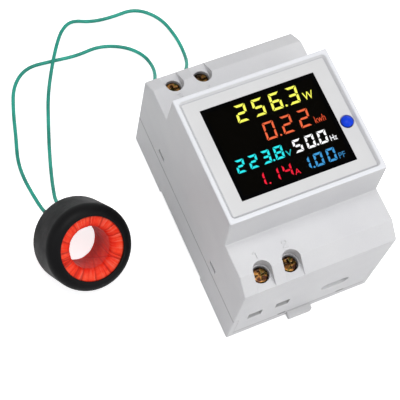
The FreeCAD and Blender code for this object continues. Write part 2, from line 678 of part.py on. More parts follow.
def base_shell(body):
    base = body.common(box(-HALF_WIDTH - WALL, HALF_WIDTH + WALL, -HALF_HEIGHT - WALL,
                           HALF_HEIGHT + WALL, BACK_Z - WALL, SIDE_SEAM_Z))
    riser = GROOVE_HALF + WALL
    base = cut(base, [
        box(-HALF_WIDTH, HALF_WIDTH, -GROOVE_HALF, GROOVE_HALF, BACK_Z, 0),
        box(-INNER_X, INNER_X, -riser, riser, GROOVE_FLOOR, SIDE_SEAM_Z),
        box(-INNER_X, INNER_X, riser, INNER_Y, 0, SIDE_SEAM_Z),
        box(-INNER_X, INNER_X, -INNER_Y, -riser, 0, SIDE_SEAM_Z),
        box(-INNER_X, INNER_X, INNER_Y, HALF_HEIGHT, END_SEAM_Z, SIDE_SEAM_Z),
        box(-INNER_X, INNER_X, -HALF_HEIGHT, -INNER_Y, END_SEAM_Z, SIDE_SEAM_Z),
    ])
    wing = CLIP_HALF + CLIP_WING + CLIP_SIDE_GAP
    roof = box(-wing - CLIP_ROOF, wing + CLIP_ROOF, -INNER_Y - FIT_GAP, -GROOVE_HALF,
               BACK_Z, CHAMBER_TOP_Z + CLIP_ROOF)
    base = cut(base.fuse(roof), clip_channel_cuts())
    post = box(-CLIP_SLOT_WIDTH / 2 + CLIP_SIDE_GAP, CLIP_SLOT_WIDTH / 2 - CLIP_SIDE_GAP,
               -POST_Y - POST_LENGTH, -POST_Y,
               CLIP_BACK_Z + CLIP_WEB + CLIP_BACK_GAP, CHAMBER_TOP_Z + CLIP_ROOF / 2)
    hooks = [box(x - HOOK_WIDTH / 2, x + HOOK_WIDTH / 2, GROOVE_HALF - HOOK_REACH, GROOVE_HALF + WALL / 2,
                 BACK_Z, HOOK_Z) for x in (-HOOK_X, HOOK_X)]
    standoffs = [rod(x, y, BACK_Z + WALL / 2, MAIN_BOARD_Z, STANDOFF_DIAMETER) for x, y in STANDOFFS]
    tongues = [snap_tongue(sx, sy) for sx in (1, -1) for sy in (1, -1)]
    base = fuse([base, post] + hooks + standoffs + tongues)
    depth = MAIN_SCREW_LENGTH - BOARD_THICK
    pilot = SMALL_SCREW_DIAMETER + 2 * PILOT_GAP
    return cut(base, [rod(x, y, MAIN_BOARD_Z - depth, MAIN_BOARD_Z, pilot) for x, y in STANDOFFS])


# Rail clip and its spring

def rail_clip():
    tab_y = -HALF_HEIGHT - CLIP_STICK_OUT
    nose_y = -GROOVE_HALF - FIT_GAP
    body = box(-CLIP_HALF, CLIP_HALF, tab_y, nose_y, CLIP_BACK_Z, CLIP_TOP_Z)
    corners = [edge for edge in body.Edges if abs(edge.CenterOfMass.y - tab_y) < 0.01
               and abs(edge.CenterOfMass.x) > CLIP_HALF - 0.01]
    body = body.makeFillet(EDGE_ROUNDING, corners)
    wing_x = CLIP_HALF + CLIP_WING
    wings = box(-wing_x, wing_x, -CLIP_WING_START - CLIP_WING_LENGTH, -CLIP_WING_START,
                CLIP_WING_BACK_Z, CLIP_TOP_Z)
    lip_y = -GROOVE_HALF + HOOK_REACH
    lip = [V(-CLIP_HALF, nose_y, HOOK_Z), V(-CLIP_HALF, lip_y, HOOK_Z),
           V(-CLIP_HALF, nose_y + FIT_GAP, CLIP_BACK_Z), V(-CLIP_HALF, nose_y, CLIP_BACK_Z)]
    lip = Part.Face(Part.makePolygon(lip + lip[:1])).extrude(V(CLIP_WIDTH, 0, 0))
    clip = fuse([body, wings, lip])
    slot = box(-CLIP_SLOT_WIDTH / 2, CLIP_SLOT_WIDTH / 2, -POST_Y - POST_LENGTH - FIT_GAP,
               -CLIP_SLOT_START, CLIP_BACK_Z + CLIP_WEB, CLIP_TOP_Z)
    return clip.cut(slot)


def clip_spring():
    radius = (SPRING_DIAMETER - SPRING_WIRE) / 2
    height = SPRING_LENGTH - SPRING_WIRE
    helix = Part.makeHelix(height / SPRING_TURNS, height, radius)
    section = Part.Wire(Part.makeCircle(SPRING_WIRE / 2, V(radius, 0, 0), V(0, 1, 0)))
    coil = helix.makePipeShell([section], True, True)
    centre_z = CLIP_BACK_Z + CLIP_WEB + FIT_GAP + SPRING_DIAMETER / 2
    coil.Placement = FreeCAD.Placement(V(0, -POST_Y + SPRING_WIRE / 2, centre_z),
                                       FreeCAD.Rotation(V(0, 0, 1), V(0, 1, 0)))
    return coil


# Front plate, window and display stack

def face_plate():
    plate = Part.Face(rounded_rectangle(PLATE_X - PLATE_GAP, PLATE_Y - PLATE_GAP, PLATE_SEAT_Z, FACE_CORNER))
    plate = plate.extrude(V(0, 0, PLATE_THICK))
    opening = box(WINDOW_X - WINDOW_WIDTH / 2, WINDOW_X + WINDOW_WIDTH / 2,
                  -WINDOW_HEIGHT / 2, WINDOW_HEIGHT / 2, PLATE_SEAT_Z, FACE_Z)
    button = rod(BUTTON_X, BUTTON_Y, PLATE_SEAT_Z, FACE_Z, BUTTON_DIAMETER + 2 * BUTTON_PLATE_GAP)
    return cut(plate, [opening, button])


def display_window():
    half_x = WINDOW_WIDTH / 2 - PLATE_GAP
    half_y = WINDOW_HEIGHT / 2 - PLATE_GAP
    return box(WINDOW_X - half_x, WINDOW_X + half_x, -half_y, half_y, PLATE_SEAT_Z, FACE_Z)


def lcd_box(half_x, half_y, z0, z1):
    return box(WINDOW_X - half_x, WINDOW_X + half_x, -half_y, half_y, z0, z1)


def lcd_panel():
    return lcd_box(LCD_WIDTH / 2, LCD_HEIGHT / 2, LCD_BACK_Z, LCD_FRONT_Z)


def backlight_guide():
    return lcd_box(LCD_WIDTH / 2, LIGHT_GUIDE_HEIGHT / 2, LCD_BACK_Z - LIGHT_GUIDE_THICK, LCD_BACK_Z)


def backlight_leds():
    height = LCD_BACK_Z - LIGHT_GUIDE_THICK - DISPLAY_BOARD_TOP
    return [block_at((x, y), BACKLIGHT_LED + (height,), DISPLAY_BOARD_TOP)
            for x in BACKLIGHT_XS for y in BACKLIGHT_YS]


def contact_strips():
    near = LIGHT_GUIDE_HEIGHT / 2 + FIT_GAP
    half = LCD_WIDTH / 2 - STRIP_END_GAP
    return [end_box(WINDOW_X - half, WINDOW_X + half, side, near, near + STRIP_WIDTH,
                    DISPLAY_BOARD_TOP, LCD_BACK_Z) for side in ends()]


def lcd_frame():
    inner_x = LCD_WIDTH / 2 + FIT_GAP
    inner_y = LCD_HEIGHT / 2 + FIT_GAP
    frame = lcd_box(inner_x + FRAME_WALL, inner_y + FRAME_WALL, DISPLAY_BOARD_TOP, FRONT_WALL_Z)
    frame = frame.cut(lcd_box(inner_x, inner_y, DISPLAY_BOARD_TOP, FRONT_WALL_Z))
    notch = SWITCH_SIDE / 2 + BUTTON_FLANGE_THICK
    right = WINDOW_X + inner_x
    return frame.cut(box(right - FIT_GAP, right + 2 * FRAME_WALL, BUTTON_Y - notch, BUTTON_Y + notch,
                         DISPLAY_BOARD_TOP, FRONT_WALL_Z))


def display_board():
    board = box(-INNER_X + BOARD_EDGE_GAP, INNER_X - BOARD_EDGE_GAP, -NOSE_INNER_Y, NOSE_INNER_Y,
                DISPLAY_BOARD_BACK, DISPLAY_BOARD_TOP)
    hole = SMALL_SCREW_DIAMETER + 2 * BOARD_HOLE_GAP
    holes = [rod(x, y, DISPLAY_BOARD_BACK, DISPLAY_BOARD_TOP, hole) for x, y in display_boss_places()]
    return cut(board, holes + [upper_header()])


def small_screw(x, y, seat_z, length, towards):
    # A pan head screw; towards is +1 where the shaft points to the front.
    head0, head1 = sorted((seat_z, seat_z - towards * SMALL_SCREW_HEAD_HEIGHT))
    shaft0, shaft1 = sorted((seat_z, seat_z + towards * length))
    slot_z = seat_z - towards * SMALL_SCREW_HEAD_HEIGHT
    slot0, slot1 = sorted((slot_z, slot_z + towards * SMALL_SCREW_HEAD_HEIGHT / 2))
    screw = fuse([rod(x, y, head0, head1, SMALL_SCREW_HEAD), rod(x, y, shaft0, shaft1, SMALL_SCREW_DIAMETER)])
    arm = SMALL_SCREW_HEAD * 0.3
    return cut(screw, [box(x - arm, x + arm, y - 0.3, y + 0.3, slot0, slot1),
                       box(x - 0.3, x + 0.3, y - arm, y + arm, slot0, slot1)])


def display_board_screws():
    length = DISPLAY_SCREW_LENGTH + DISPLAY_BOARD_THICK - FIT_GAP
    return [small_screw(x, y, DISPLAY_BOARD_BACK, length, 1) for x, y in display_boss_places()]


# Button

def reset_button():
    flange_top = FRONT_WALL_Z - FIT_GAP
    top = FACE_Z + BUTTON_PROUD
    flange = rod(BUTTON_X, BUTTON_Y, flange_top - BUTTON_FLANGE_THICK, flange_top, BUTTON_FLANGE_DIAMETER)
    stem = rod(BUTTON_X, BUTTON_Y, flange_top, top - BUTTON_DOME, BUTTON_DIAMETER)
    radius = BUTTON_DIAMETER / 2
    sphere = (radius ** 2 + BUTTON_DOME ** 2) / (2 * BUTTON_DOME)
    ball = Part.makeSphere(sphere, V(BUTTON_X, BUTTON_Y, top - sphere))
    cap = ball.common(rod(BUTTON_X, BUTTON_Y, top - BUTTON_DOME, top + BUTTON_DOME, BUTTON_FLANGE_DIAMETER))
    return fuse([flange, stem, cap])


def plunger_top():
    return FRONT_WALL_Z - FIT_GAP - BUTTON_FLANGE_THICK


def tact_switch():
    half = SWITCH_SIDE / 2
    body = box(BUTTON_X - half, BUTTON_X + half, BUTTON_Y - half, BUTTON_Y + half,
               DISPLAY_BOARD_TOP, DISPLAY_BOARD_TOP + SWITCH_HEIGHT)
    floor_z = DISPLAY_BOARD_TOP + SWITCH_HEIGHT - PLUNGER_SINK - BUTTON_TRAVEL - FIT_GAP
    bore = rod(BUTTON_X, BUTTON_Y, floor_z, DISPLAY_BOARD_TOP + SWITCH_HEIGHT,
               PLUNGER_DIAMETER + 2 * PLUNGER_GAP)
    return body.cut(bore)


def switch_plunger():
    return rod(BUTTON_X, BUTTON_Y, DISPLAY_BOARD_TOP + SWITCH_HEIGHT - PLUNGER_SINK, plunger_top(),
               PLUNGER_DIAMETER)


# Terminals

def terminal_screw(x, y):
    head = rod(x, y, HEAD_SEAT_Z, HEAD_TOP_Z, HEAD_DIAMETER)
    top_edge = [edge for edge in head.Edges if abs(edge.BoundBox.ZMin - HEAD_TOP_Z) < 0.01
                and abs(edge.BoundBox.ZMax - HEAD_TOP_Z) < 0.01]
    head = head.makeFillet(HEAD_ROUNDING, top_edge)
    shaft = rod(x, y, BAR_TOP_Z + TIP_GAP, HEAD_SEAT_Z, THREAD_DIAMETER)
    screw = fuse([head, shaft])
    slot = HEAD_DIAMETER
    arm = CROSS_LENGTH / 2
    width = SLOT_WIDTH / 2
    return cut(screw, [
        box(x - slot, x + slot, y - width, y + width, HEAD_TOP_Z - SLOT_DEPTH, HEAD_TOP_Z),
        box(x - width, x + width, y - arm, y + arm, HEAD_TOP_Z - CROSS_DEPTH, HEAD_TOP_Z),
        box(x - arm, x + arm, y - width, y + width, HEAD_TOP_Z - CROSS_DEPTH, HEAD_TOP_Z),
    ])


def clamp_cage(x, side, rise):
    half = CAGE_WIDTH / 2
    far = INNER_Y - CAGE_END_GAP
    near = far - CAGE_LENGTH
    floor_top = MOUTH_BOTTOM_Z + rise
    roof = BAR_TOP_Z + CAGE_BAR_GAP + rise
    outer = end_box(x - half, x + half, side, near, far, floor_top - CAGE_FLOOR, roof + CAGE_TOP)
    inner = end_box(x - half + CAGE_WALL, x + half - CAGE_WALL, side, near, far, floor_top, roof)
    hole = rod(x, side * SCREW_Y, roof, roof + CAGE_TOP, THREAD_DIAMETER + 2 * THREAD_GAP)
    return cut(outer, [inner, hole])


def contact_bar(x, side):
    half = BAR_WIDTH / 2
    leg_far = BAR_LEG_Y + BAR_THICK
    bar = end_box(x - half, x + half, side, BAR_LEG_Y, INNER_Y - BAR_OUTER_GAP, BAR_Z, BAR_TOP_Z)
    leg = end_box(x - half, x + half, side, BAR_LEG_Y, leg_far, MAIN_BOARD_TOP, BAR_TOP_Z)
    tab = end_box(x - TAB_WIDTH / 2, x + TAB_WIDTH / 2, side, BAR_LEG_Y, leg_far,
                  MAIN_BOARD_TOP - TAB_LENGTH, MAIN_BOARD_TOP)
    return fuse([bar, leg, tab])


# Main board and its parts

def main_board():
    board = box(-MAIN_BOARD_HALF_X, MAIN_BOARD_HALF_X, -MAIN_BOARD_HALF_Y, MAIN_BOARD_HALF_Y,
                MAIN_BOARD_Z, MAIN_BOARD_TOP)
    cuts = [rod(x, y, MAIN_BOARD_Z, MAIN_BOARD_TOP, SMALL_SCREW_DIAMETER + 2 * BOARD_HOLE_GAP)
            for x, y in STANDOFFS]
    notch_x = INNER_X - FIT_GAP - TONGUE_THICK - BOARD_NOTCH_GAP
    half = LATCH_WIDTH / 2 + BOARD_NOTCH_GAP
    for sx in (1, -1):
        for sy in (1, -1):
            x0, x1 = sorted((sx * notch_x, sx * INNER_X))
            cuts.append(box(x0, x1, sy * LATCH_Y - half, sy * LATCH_Y + half, MAIN_BOARD_Z, MAIN_BOARD_TOP))
    for side in ends():
        for x in COLUMN_XS:
            cuts.append(end_box(x - TAB_WIDTH / 2 - FIT_GAP, x + TAB_WIDTH / 2 + FIT_GAP, side,
                                BAR_LEG_Y - FIT_GAP, BAR_LEG_Y + BAR_THICK + FIT_GAP,
                                MAIN_BOARD_Z, MAIN_BOARD_TOP))
    legged = [film_capacitor(), varistor(), clock_crystal(), lower_header()]
    return cut(board, cuts + legged)


def riser_board():
    return box(-RISER_WIDTH / 2, RISER_WIDTH / 2, RISER_Y, RISER_Y + BOARD_THICK,
               MAIN_BOARD_TOP + RISER_GAP, DISPLAY_BOARD_BACK - RISER_GAP)


def riser_header(z0, z1, pin_end):
    # A right-angle pin strip: a block beside the riser, with pins into the riser and the flat board.
    near = RISER_Y - HEADER_DEPTH
    block = box(-HEADER_WIDTH / 2, HEADER_WIDTH / 2, near, RISER_Y, z0, z1)
    pins = []
    middle = (z0 + z1) / 2
    half = PIN_WIDTH / 2
    for i in range(HEADER_PINS):
        x = (i - (HEADER_PINS - 1) / 2) * HEADER_PITCH
        p0, p1 = sorted((pin_end, middle))
        pins.append(box(x - half, x + half, near + HEADER_DEPTH / 2 - half, near + HEADER_DEPTH / 2 + half,
                        p0, p1))
    return fuse([block] + pins)


def lower_header():
    return riser_header(MAIN_BOARD_TOP, MAIN_BOARD_TOP + HEADER_HEIGHT, MAIN_BOARD_Z - PIN_WIDTH)


def upper_header():
    return riser_header(DISPLAY_BOARD_BACK - HEADER_HEIGHT, DISPLAY_BOARD_BACK, DISPLAY_BOARD_TOP + PIN_WIDTH)


def block_at(place, size, z):
    x, y = place
    length, width, height = size
    return box(x - length / 2, x + length / 2, y - width / 2, y + width / 2, z, z + height)


def round_edges(shape, radius):
    circles = [edge for edge in shape.Edges if edge.Curve.TypeId == "Part::GeomCircle"]
    return shape.makeFillet(radius, circles)


def board_legs(place, pitch, top_z):
    return [rod(place[0] + s * pitch / 2, place[1], MAIN_BOARD_TOP - LEG_LENGTH, top_z, LEG_DIAMETER)
            for s in (1, -1)]


def film_capacitor():
    base_z = MAIN_BOARD_TOP + FILM_CAPACITOR_LIFT
    case = block_at(FILM_CAPACITOR_PLACE, FILM_CAPACITOR_SIZE, base_z)
    case = case.makeFillet(FILM_CAPACITOR_ROUNDING, case.Edges)
    legs = board_legs(FILM_CAPACITOR_PLACE, FILM_CAPACITOR_LEG_PITCH, base_z + FILM_CAPACITOR_ROUNDING)
    return fuse([case] + legs)


def bulk_capacitor():
    x, y = BULK_CAPACITOR_PLACE
    can = rod(x, y, MAIN_BOARD_TOP, MAIN_BOARD_TOP + BULK_CAPACITOR_HEIGHT, BULK_CAPACITOR_DIAMETER)
    return round_edges(can, BULK_CAPACITOR_ROUNDING)


def varistor():
    x, y = VARISTOR_PLACE
    middle_z = MAIN_BOARD_TOP + VARISTOR_LIFT + VARISTOR_DIAMETER / 2
    start = V(x, y - VARISTOR_THICK / 2, middle_z)
    disc = Part.makeCylinder(VARISTOR_DIAMETER / 2, VARISTOR_THICK, start, V(0, 1, 0))
    legs = board_legs(VARISTOR_PLACE, VARISTOR_LEG_PITCH, middle_z - VARISTOR_DIAMETER / 4)
    return fuse([round_edges(disc, VARISTOR_ROUNDING)] + legs)


def transformer_core():
    length, width, height = TRANSFORMER_SIZE
    base_z = MAIN_BOARD_TOP + TRANSFORMER_LIFT
    outer = block_at(TRANSFORMER_PLACE, TRANSFORMER_SIZE, base_z)
    opening = (length - 2 * TRANSFORMER_YOKE, width, height - 2 * TRANSFORMER_YOKE)
    window = block_at(TRANSFORMER_PLACE, opening, base_z + TRANSFORMER_YOKE)
    leg = block_at(TRANSFORMER_PLACE, (TRANSFORMER_LEG, width, height - 2 * TRANSFORMER_YOKE),
                   base_z + TRANSFORMER_YOKE)
    return fuse([outer.cut(window), leg])


def transformer_bobbin():
    length, width, height = TRANSFORMER_SIZE
    base_z = MAIN_BOARD_TOP + TRANSFORMER_LIFT + TRANSFORMER_YOKE + BOBBIN_GAP
    coil_width = width + 2 * BOBBIN_OVERHANG
    coil_height = height - 2 * TRANSFORMER_YOKE - 2 * BOBBIN_GAP
    coil = block_at(TRANSFORMER_PLACE, (length - 2 * TRANSFORMER_YOKE - 2 * BOBBIN_GAP, coil_width,
                                        coil_height), base_z)
    bore = block_at(TRANSFORMER_PLACE, (TRANSFORMER_LEG + 2 * BOBBIN_GAP, coil_width, coil_height), base_z)
    x, y = TRANSFORMER_PLACE
    foot_y = (coil_width - BOBBIN_FOOT) / 2
    feet = [block_at((x, y + s * foot_y), (length, BOBBIN_FOOT, base_z + BOBBIN_GAP - MAIN_BOARD_TOP),
                     MAIN_BOARD_TOP) for s in (1, -1)]
    return fuse([coil.cut(bore)] + feet)


def chip(place, board_z, size, legs, facing):
    # A flat package with legs down two sides; facing is -1 under a board.
    x, y = place
    length, width, height = size
    z0, z1 = sorted((board_z + facing * CHIP_LIFT, board_z + facing * height))
    shapes = [box(x - length / 2, x + length / 2, y - width / 2, y + width / 2, z0, z1)]
    pitch = length / (legs + 1)
    half = CHIP_LEG_WIDTH / 2
    l0, l1 = sorted((board_z, board_z + facing * CHIP_LEG_HEIGHT))
    for side in (1, -1):
        for i in range(legs):
            leg_x = x - length / 2 + pitch * (i + 1)
            y0, y1 = sorted((y + side * (width / 2 - CHIP_LIFT), y + side * (width / 2 + CHIP_LEG_REACH)))
            shapes.append(box(leg_x - half, leg_x + half, y0, y1, l0, l1))
    return fuse(shapes)


def clock_crystal():
    can = block_at(CRYSTAL_PLACE, CRYSTAL_SIZE, MAIN_BOARD_TOP)
    corners = [edge for edge in can.Edges if abs(edge.tangentAt(edge.FirstParameter).z) > 0.99]
    can = can.makeFillet(CRYSTAL_ROUNDING, corners)
    legs = board_legs(CRYSTAL_PLACE, CRYSTAL_LEG_PITCH, MAIN_BOARD_TOP + LEG_DIAMETER)
    return fuse([can] + legs)


def burden_resistors():
    return [block_at((x, RESISTOR_Y), RESISTOR_SIZE, MAIN_BOARD_TOP) for x in RESISTOR_XS]


# Current transformer

def ring_axes():
    tilt = math.radians(RING_TILT)
    heading = math.radians(RING_HEADING)
    axis = V(math.sin(tilt) * math.sin(heading), -math.sin(tilt) * math.cos(heading), math.cos(tilt))
    raised = V(0, 0, 1) - axis * axis.z
    raised.normalize()
    return raised, axis.cross(raised), axis


def ring_place():
    # The rounded lower edge of the ring touches the plane of the housing's back.
    tilt = math.radians(RING_TILT)
    reach = (RING_LIP * math.sin(tilt) + (RING_HEIGHT / 2 - RING_ROUNDING) * math.cos(tilt)
             + RING_ROUNDING)
    raised, across, axis = ring_axes()
    matrix = FreeCAD.Matrix(raised.x, across.x, axis.x, RING_X,
                            raised.y, across.y, axis.y, RING_Y,
                            raised.z, across.z, axis.z, BACK_Z + reach,
                            0, 0, 0, 1)
    return FreeCAD.Placement(matrix)


def turned(edges):
    return Part.Face(Part.Wire(edges)).revolve(V(0, 0, 0), V(0, 0, 1), 360)


def ring_point(radius, z):
    return V(radius, 0, z)


def quarter_arc(centre_r, centre_z, radius, start, end):
    points = []
    for angle in (start, (start + end) / 2, end):
        turn = math.radians(angle)
        points.append(ring_point(centre_r + radius * math.cos(turn), centre_z + radius * math.sin(turn)))
    return Part.Arc(*points).toShape()


def closed(edges):
    # Joins arcs with straight lines, in order, into a closed outline.
    outline = []
    for i, edge in enumerate(edges):
        outline.append(edge)
        here = edge.lastVertex().Point
        after = edges[(i + 1) % len(edges)].firstVertex().Point
        if here.distanceToPoint(after) > 1e-6:
            outline.append(Part.makeLine(here, after))
    return outline


def reversed_arc(edge):
    curve = edge.Curve.copy()
    first, last = edge.FirstParameter, edge.LastParameter
    return Part.Arc(curve.value(last), curve.value((first + last) / 2), curve.value(first)).toShape()


def grommet_axis_places():
    places = []
    for angle in LEAD_EXIT_ANGLES:
        turn = math.radians(angle)
        places.append((LEAD_EXIT_RADIUS * math.cos(turn), LEAD_EXIT_RADIUS * math.sin(turn)))
    return places


def ct_case():
    high = RING_HEIGHT / 2 - RING_ROUNDING
    inner = RING_ROUNDING - RING_WALL
    case = turned(closed([
        quarter_arc(RING_LIP, -high, RING_ROUNDING, -90, 0),
        quarter_arc(RING_LIP, high, RING_ROUNDING, 0, 90),
        quarter_arc(RING_LIP, high, inner, 90, 0),
        quarter_arc(RING_LIP, -high, inner, 0, -90),
    ]))
    case = cut(case, [rod(x, y, -GROMMET_OUTER, -GROMMET_INNER, GROMMET_DIAMETER)
                      for x, y in grommet_axis_places()])
    case.Placement = ring_place()
    return case


def lining_arc(gap, side):
    # The lining's rounded end from the straight bore, at a distance gap behind its face.
    centre_r = BORE_DIAMETER / 2 + TAPE_ROUNDING
    return quarter_arc(centre_r, side * BORE_STRAIGHT / 2, TAPE_ROUNDING - gap, side * 180, side * 90)


def ct_tape():
    face_z = RING_HEIGHT / 2 - TAPE_SINK
    behind_z = face_z - TAPE_THICK
    tape = turned(closed([
        reversed_arc(lining_arc(0, -1)),
        lining_arc(0, 1),
        Part.makeLine(ring_point(RING_LIP, face_z), ring_point(RING_LIP, behind_z)),
        reversed_arc(lining_arc(TAPE_THICK, 1)),
        lining_arc(TAPE_THICK, -1),
        Part.makeLine(ring_point(RING_LIP, -behind_z), ring_point(RING_LIP, -face_z)),
    ]))
    tape.Placement = ring_place()
    return tape


def ct_core():
    core = rod(0, 0, -CORE_HEIGHT / 2, CORE_HEIGHT / 2, CORE_OUTER_DIAMETER)
    core = core.cut(rod(0, 0, -CORE_HEIGHT / 2, CORE_HEIGHT / 2, CORE_INNER_DIAMETER))
    core.Placement = ring_place()
    return core


def ct_winding():
    outer = rod(0, 0, -WINDING_HEIGHT / 2, WINDING_HEIGHT / 2, WINDING_OUTER_DIAMETER)
    winding = outer.cut(rod(0, 0, -WINDING_HEIGHT / 2, WINDING_HEIGHT / 2, WINDING_INNER_DIAMETER))
    winding = winding.makeFillet(WINDING_ROUNDING, [edge for edge in winding.Edges
                                                    if edge.Curve.TypeId == "Part::GeomCircle"])
    hollow = rod(0, 0, -CORE_HEIGHT / 2, CORE_HEIGHT / 2, CORE_OUTER_DIAMETER)
    hollow = hollow.cut(rod(0, 0, -CORE_HEIGHT / 2, CORE_HEIGHT / 2, CORE_INNER_DIAMETER))
    winding = winding.cut(hollow)
    winding.Placement = ring_place()
    return winding


def ct_grommets():
    grommets = []
    lining = rod(0, 0, -RING_HEIGHT / 2, 0, 2 * (RING_LIP + FIT_GAP))
    for x, y in grommet_axis_places():
        grommet = rod(x, y, -GROMMET_OUTER, -GROMMET_INNER, GROMMET_DIAMETER).cut(lining)
        grommet = grommet.cut(rod(x, y, -GROMMET_OUTER, -GROMMET_OUTER + GROMMET_BORE_DEPTH, GROMMET_BORE))
        grommet.Placement = ring_place()
        grommets.append(grommet)
    return grommets


# Leads

def lead_path(name, points):
    # Straight runs joined by arcs that start short of each corner.
    corners = [V(*point) for point in points]
    edges = []
    here = corners[0]
    radii = []
    for i in range(1, len(corners) - 1):
        arriving = corners[i] - corners[i - 1]
        leaving = corners[i + 1] - corners[i]
        trim = 0.45 * min(arriving.Length, leaving.Length)
        half_turn = arriving.getAngle(leaving) / 2
        radius = trim / math.tan(half_turn)
        arriving.normalize()
        leaving.normalize()
        start = corners[i] - arriving * trim
        end = corners[i] + leaving * trim
        inward = leaving - arriving
        inward.normalize()
        middle = corners[i] + inward * (radius / math.cos(half_turn) - radius)
        edges.append(Part.LineSegment(here, start).toShape())
        edges.append(Part.Arc(start, middle, end).toShape())
        here = end
        radii.append(round(radius, 1))
    edges.append(Part.LineSegment(here, corners[-1]).toShape())
    print(name, "bend radii", radii)
    return Part.Wire(edges)


def tube(name, path, diameter):
    start = path.Edges[0]
    direction = start.tangentAt(start.FirstParameter)
    section = Part.Wire(Part.makeCircle(diameter / 2, start.firstVertex().Point, direction))
    shape = path.makePipeShell([section], True, False)
    expected = math.pi * diameter ** 2 / 4 * path.Length
    print(name, "length", round(path.Length, 1))
    print(name, "volume", round(shape.Volume, 1), "expected", round(expected, 1))
    return shape


def stripped_core(x):
    return Part.makeCylinder(CORE_DIAMETER / 2, CORE_LENGTH, V(x, LEAD_START_Y, LEAD_Z), V(0, -1, 0))


# Build

os.makedirs("parts", exist_ok=True)
body = body_block()
save("front_cover", front_cover(body))
save("base_shell", base_shell(body))
save("rail_clip", rail_clip())
save("clip_spring", clip_spring())
save("face_plate", face_plate())
save("display_window", display_window())
save("lcd_panel", lcd_panel())
save("backlight_guide", backlight_guide())
save("backlight_leds", *backlight_leds())
save("contact_strips", *contact_strips())
save("lcd_frame", lcd_frame())
save("display_board", display_board())
save("display_board_screws", *display_board_screws())
save("reset_button", reset_button())
save("tact_switch", tact_switch())
save("switch_plunger", switch_plunger())

number = 0
for side in (-1, 1):
    rise = 0.0 if side < 0 else CAGE_CLAMPED_RISE
    for x in COLUMN_XS:
        number += 1
        save("terminal_screw_" + str(number), terminal_screw(x, side * SCREW_Y))
        save("clamp_cage_" + str(number), clamp_cage(x, side, rise))
save("contact_bars", *[contact_bar(x, side) for side in (-1, 1) for x in COLUMN_XS])

save("main_board", main_board())
save("main_board_screws", *[small_screw(x, y, MAIN_BOARD_TOP, MAIN_SCREW_LENGTH - FIT_GAP, -1)
                            for x, y in STANDOFFS])
save("riser_board", riser_board())
save("riser_headers", lower_header(), upper_header())
save("film_capacitor", film_capacitor())
save("bulk_capacitor", bulk_capacitor())
save("varistor", varistor())
save("transformer_core", transformer_core())
save("transformer_bobbin", transformer_bobbin())
save("metering_chip", chip(METERING_CHIP_PLACE, MAIN_BOARD_TOP, METERING_CHIP_SIZE, METERING_CHIP_LEGS, 1))
save("bridge_rectifier", chip(RECTIFIER_PLACE, MAIN_BOARD_TOP, RECTIFIER_SIZE, RECTIFIER_LEGS, 1))
save("microcontroller", chip(CONTROLLER_PLACE, DISPLAY_BOARD_BACK, CONTROLLER_SIZE, CONTROLLER_LEGS, -1))
save("clock_crystal", clock_crystal())
save("burden_resistors", *burden_resistors())

save("ct_case", ct_case())
save("ct_tape", ct_tape())
save("ct_winding", ct_winding())
save("ct_core", ct_core())
save("ct_grommets", *ct_grommets())
for letter, points, x in (("a", LEAD_A, COLUMN_XS[1]), ("b", LEAD_B, COLUMN_XS[0])):
    name = "ct_lead_" + letter
    save(name, tube(name, lead_path(name, points), LEAD_DIAMETER))
    save("lead_core_" + letter, stripped_core(x))

place = ring_place()
print("ring centre", place.Base, "axis", ring_axes()[2])
for x, y in grommet_axis_places():
    print("lead exit", place.multVec(V(x, y, -GROMMET_OUTER + 1.0)))
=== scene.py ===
import json
import math
import random

import bmesh
import bpy
from mathutils import Matrix, Vector


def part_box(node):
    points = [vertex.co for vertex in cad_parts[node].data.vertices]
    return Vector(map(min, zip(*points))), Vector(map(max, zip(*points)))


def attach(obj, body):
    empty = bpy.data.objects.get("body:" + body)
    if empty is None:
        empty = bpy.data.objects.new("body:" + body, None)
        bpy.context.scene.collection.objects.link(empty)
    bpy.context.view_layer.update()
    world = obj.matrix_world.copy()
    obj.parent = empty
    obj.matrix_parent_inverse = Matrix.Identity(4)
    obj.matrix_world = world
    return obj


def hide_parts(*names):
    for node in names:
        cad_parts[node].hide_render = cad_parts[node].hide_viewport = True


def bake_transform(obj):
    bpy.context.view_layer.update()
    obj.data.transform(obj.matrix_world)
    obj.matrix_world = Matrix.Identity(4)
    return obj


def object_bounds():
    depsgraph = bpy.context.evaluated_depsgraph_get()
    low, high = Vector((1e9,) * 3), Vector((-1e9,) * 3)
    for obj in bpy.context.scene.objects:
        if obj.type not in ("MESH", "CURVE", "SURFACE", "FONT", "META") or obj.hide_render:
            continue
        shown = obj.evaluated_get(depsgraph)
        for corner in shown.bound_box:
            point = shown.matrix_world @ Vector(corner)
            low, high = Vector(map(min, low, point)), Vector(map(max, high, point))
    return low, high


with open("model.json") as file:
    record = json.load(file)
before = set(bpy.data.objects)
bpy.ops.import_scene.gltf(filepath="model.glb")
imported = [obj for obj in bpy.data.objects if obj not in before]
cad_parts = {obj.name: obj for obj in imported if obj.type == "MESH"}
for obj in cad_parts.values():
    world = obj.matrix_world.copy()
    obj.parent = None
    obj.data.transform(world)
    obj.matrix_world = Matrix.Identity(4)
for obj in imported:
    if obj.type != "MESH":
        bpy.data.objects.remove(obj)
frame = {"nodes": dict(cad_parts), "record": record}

# The looks of a rail-mounted energy meter with its ring current transformer.
# Sizes are in millimetres in the part's own frame: X along the rail, Y up the face, Z out to the front.
# The places of the camera and the lamps, the lamps' widths and the floor's reach are in metres.

MM = 0.001
CAD_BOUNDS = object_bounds()
NODES = frame["nodes"]


def mm(point):
    return Vector(point) * MM


def srgb(red, green, blue):
    """A picture's colour, each channel from 0 to 255, as the linear colour that shaders take."""
    def linear(value):
        value /= 255
        return value / 12.92 if value <= 0.04045 else ((value + 0.055) / 1.055) ** 2.4
    return (linear(red), linear(green), linear(blue), 1.0)


def grey(level):
    return (level, level, level, 1.0)


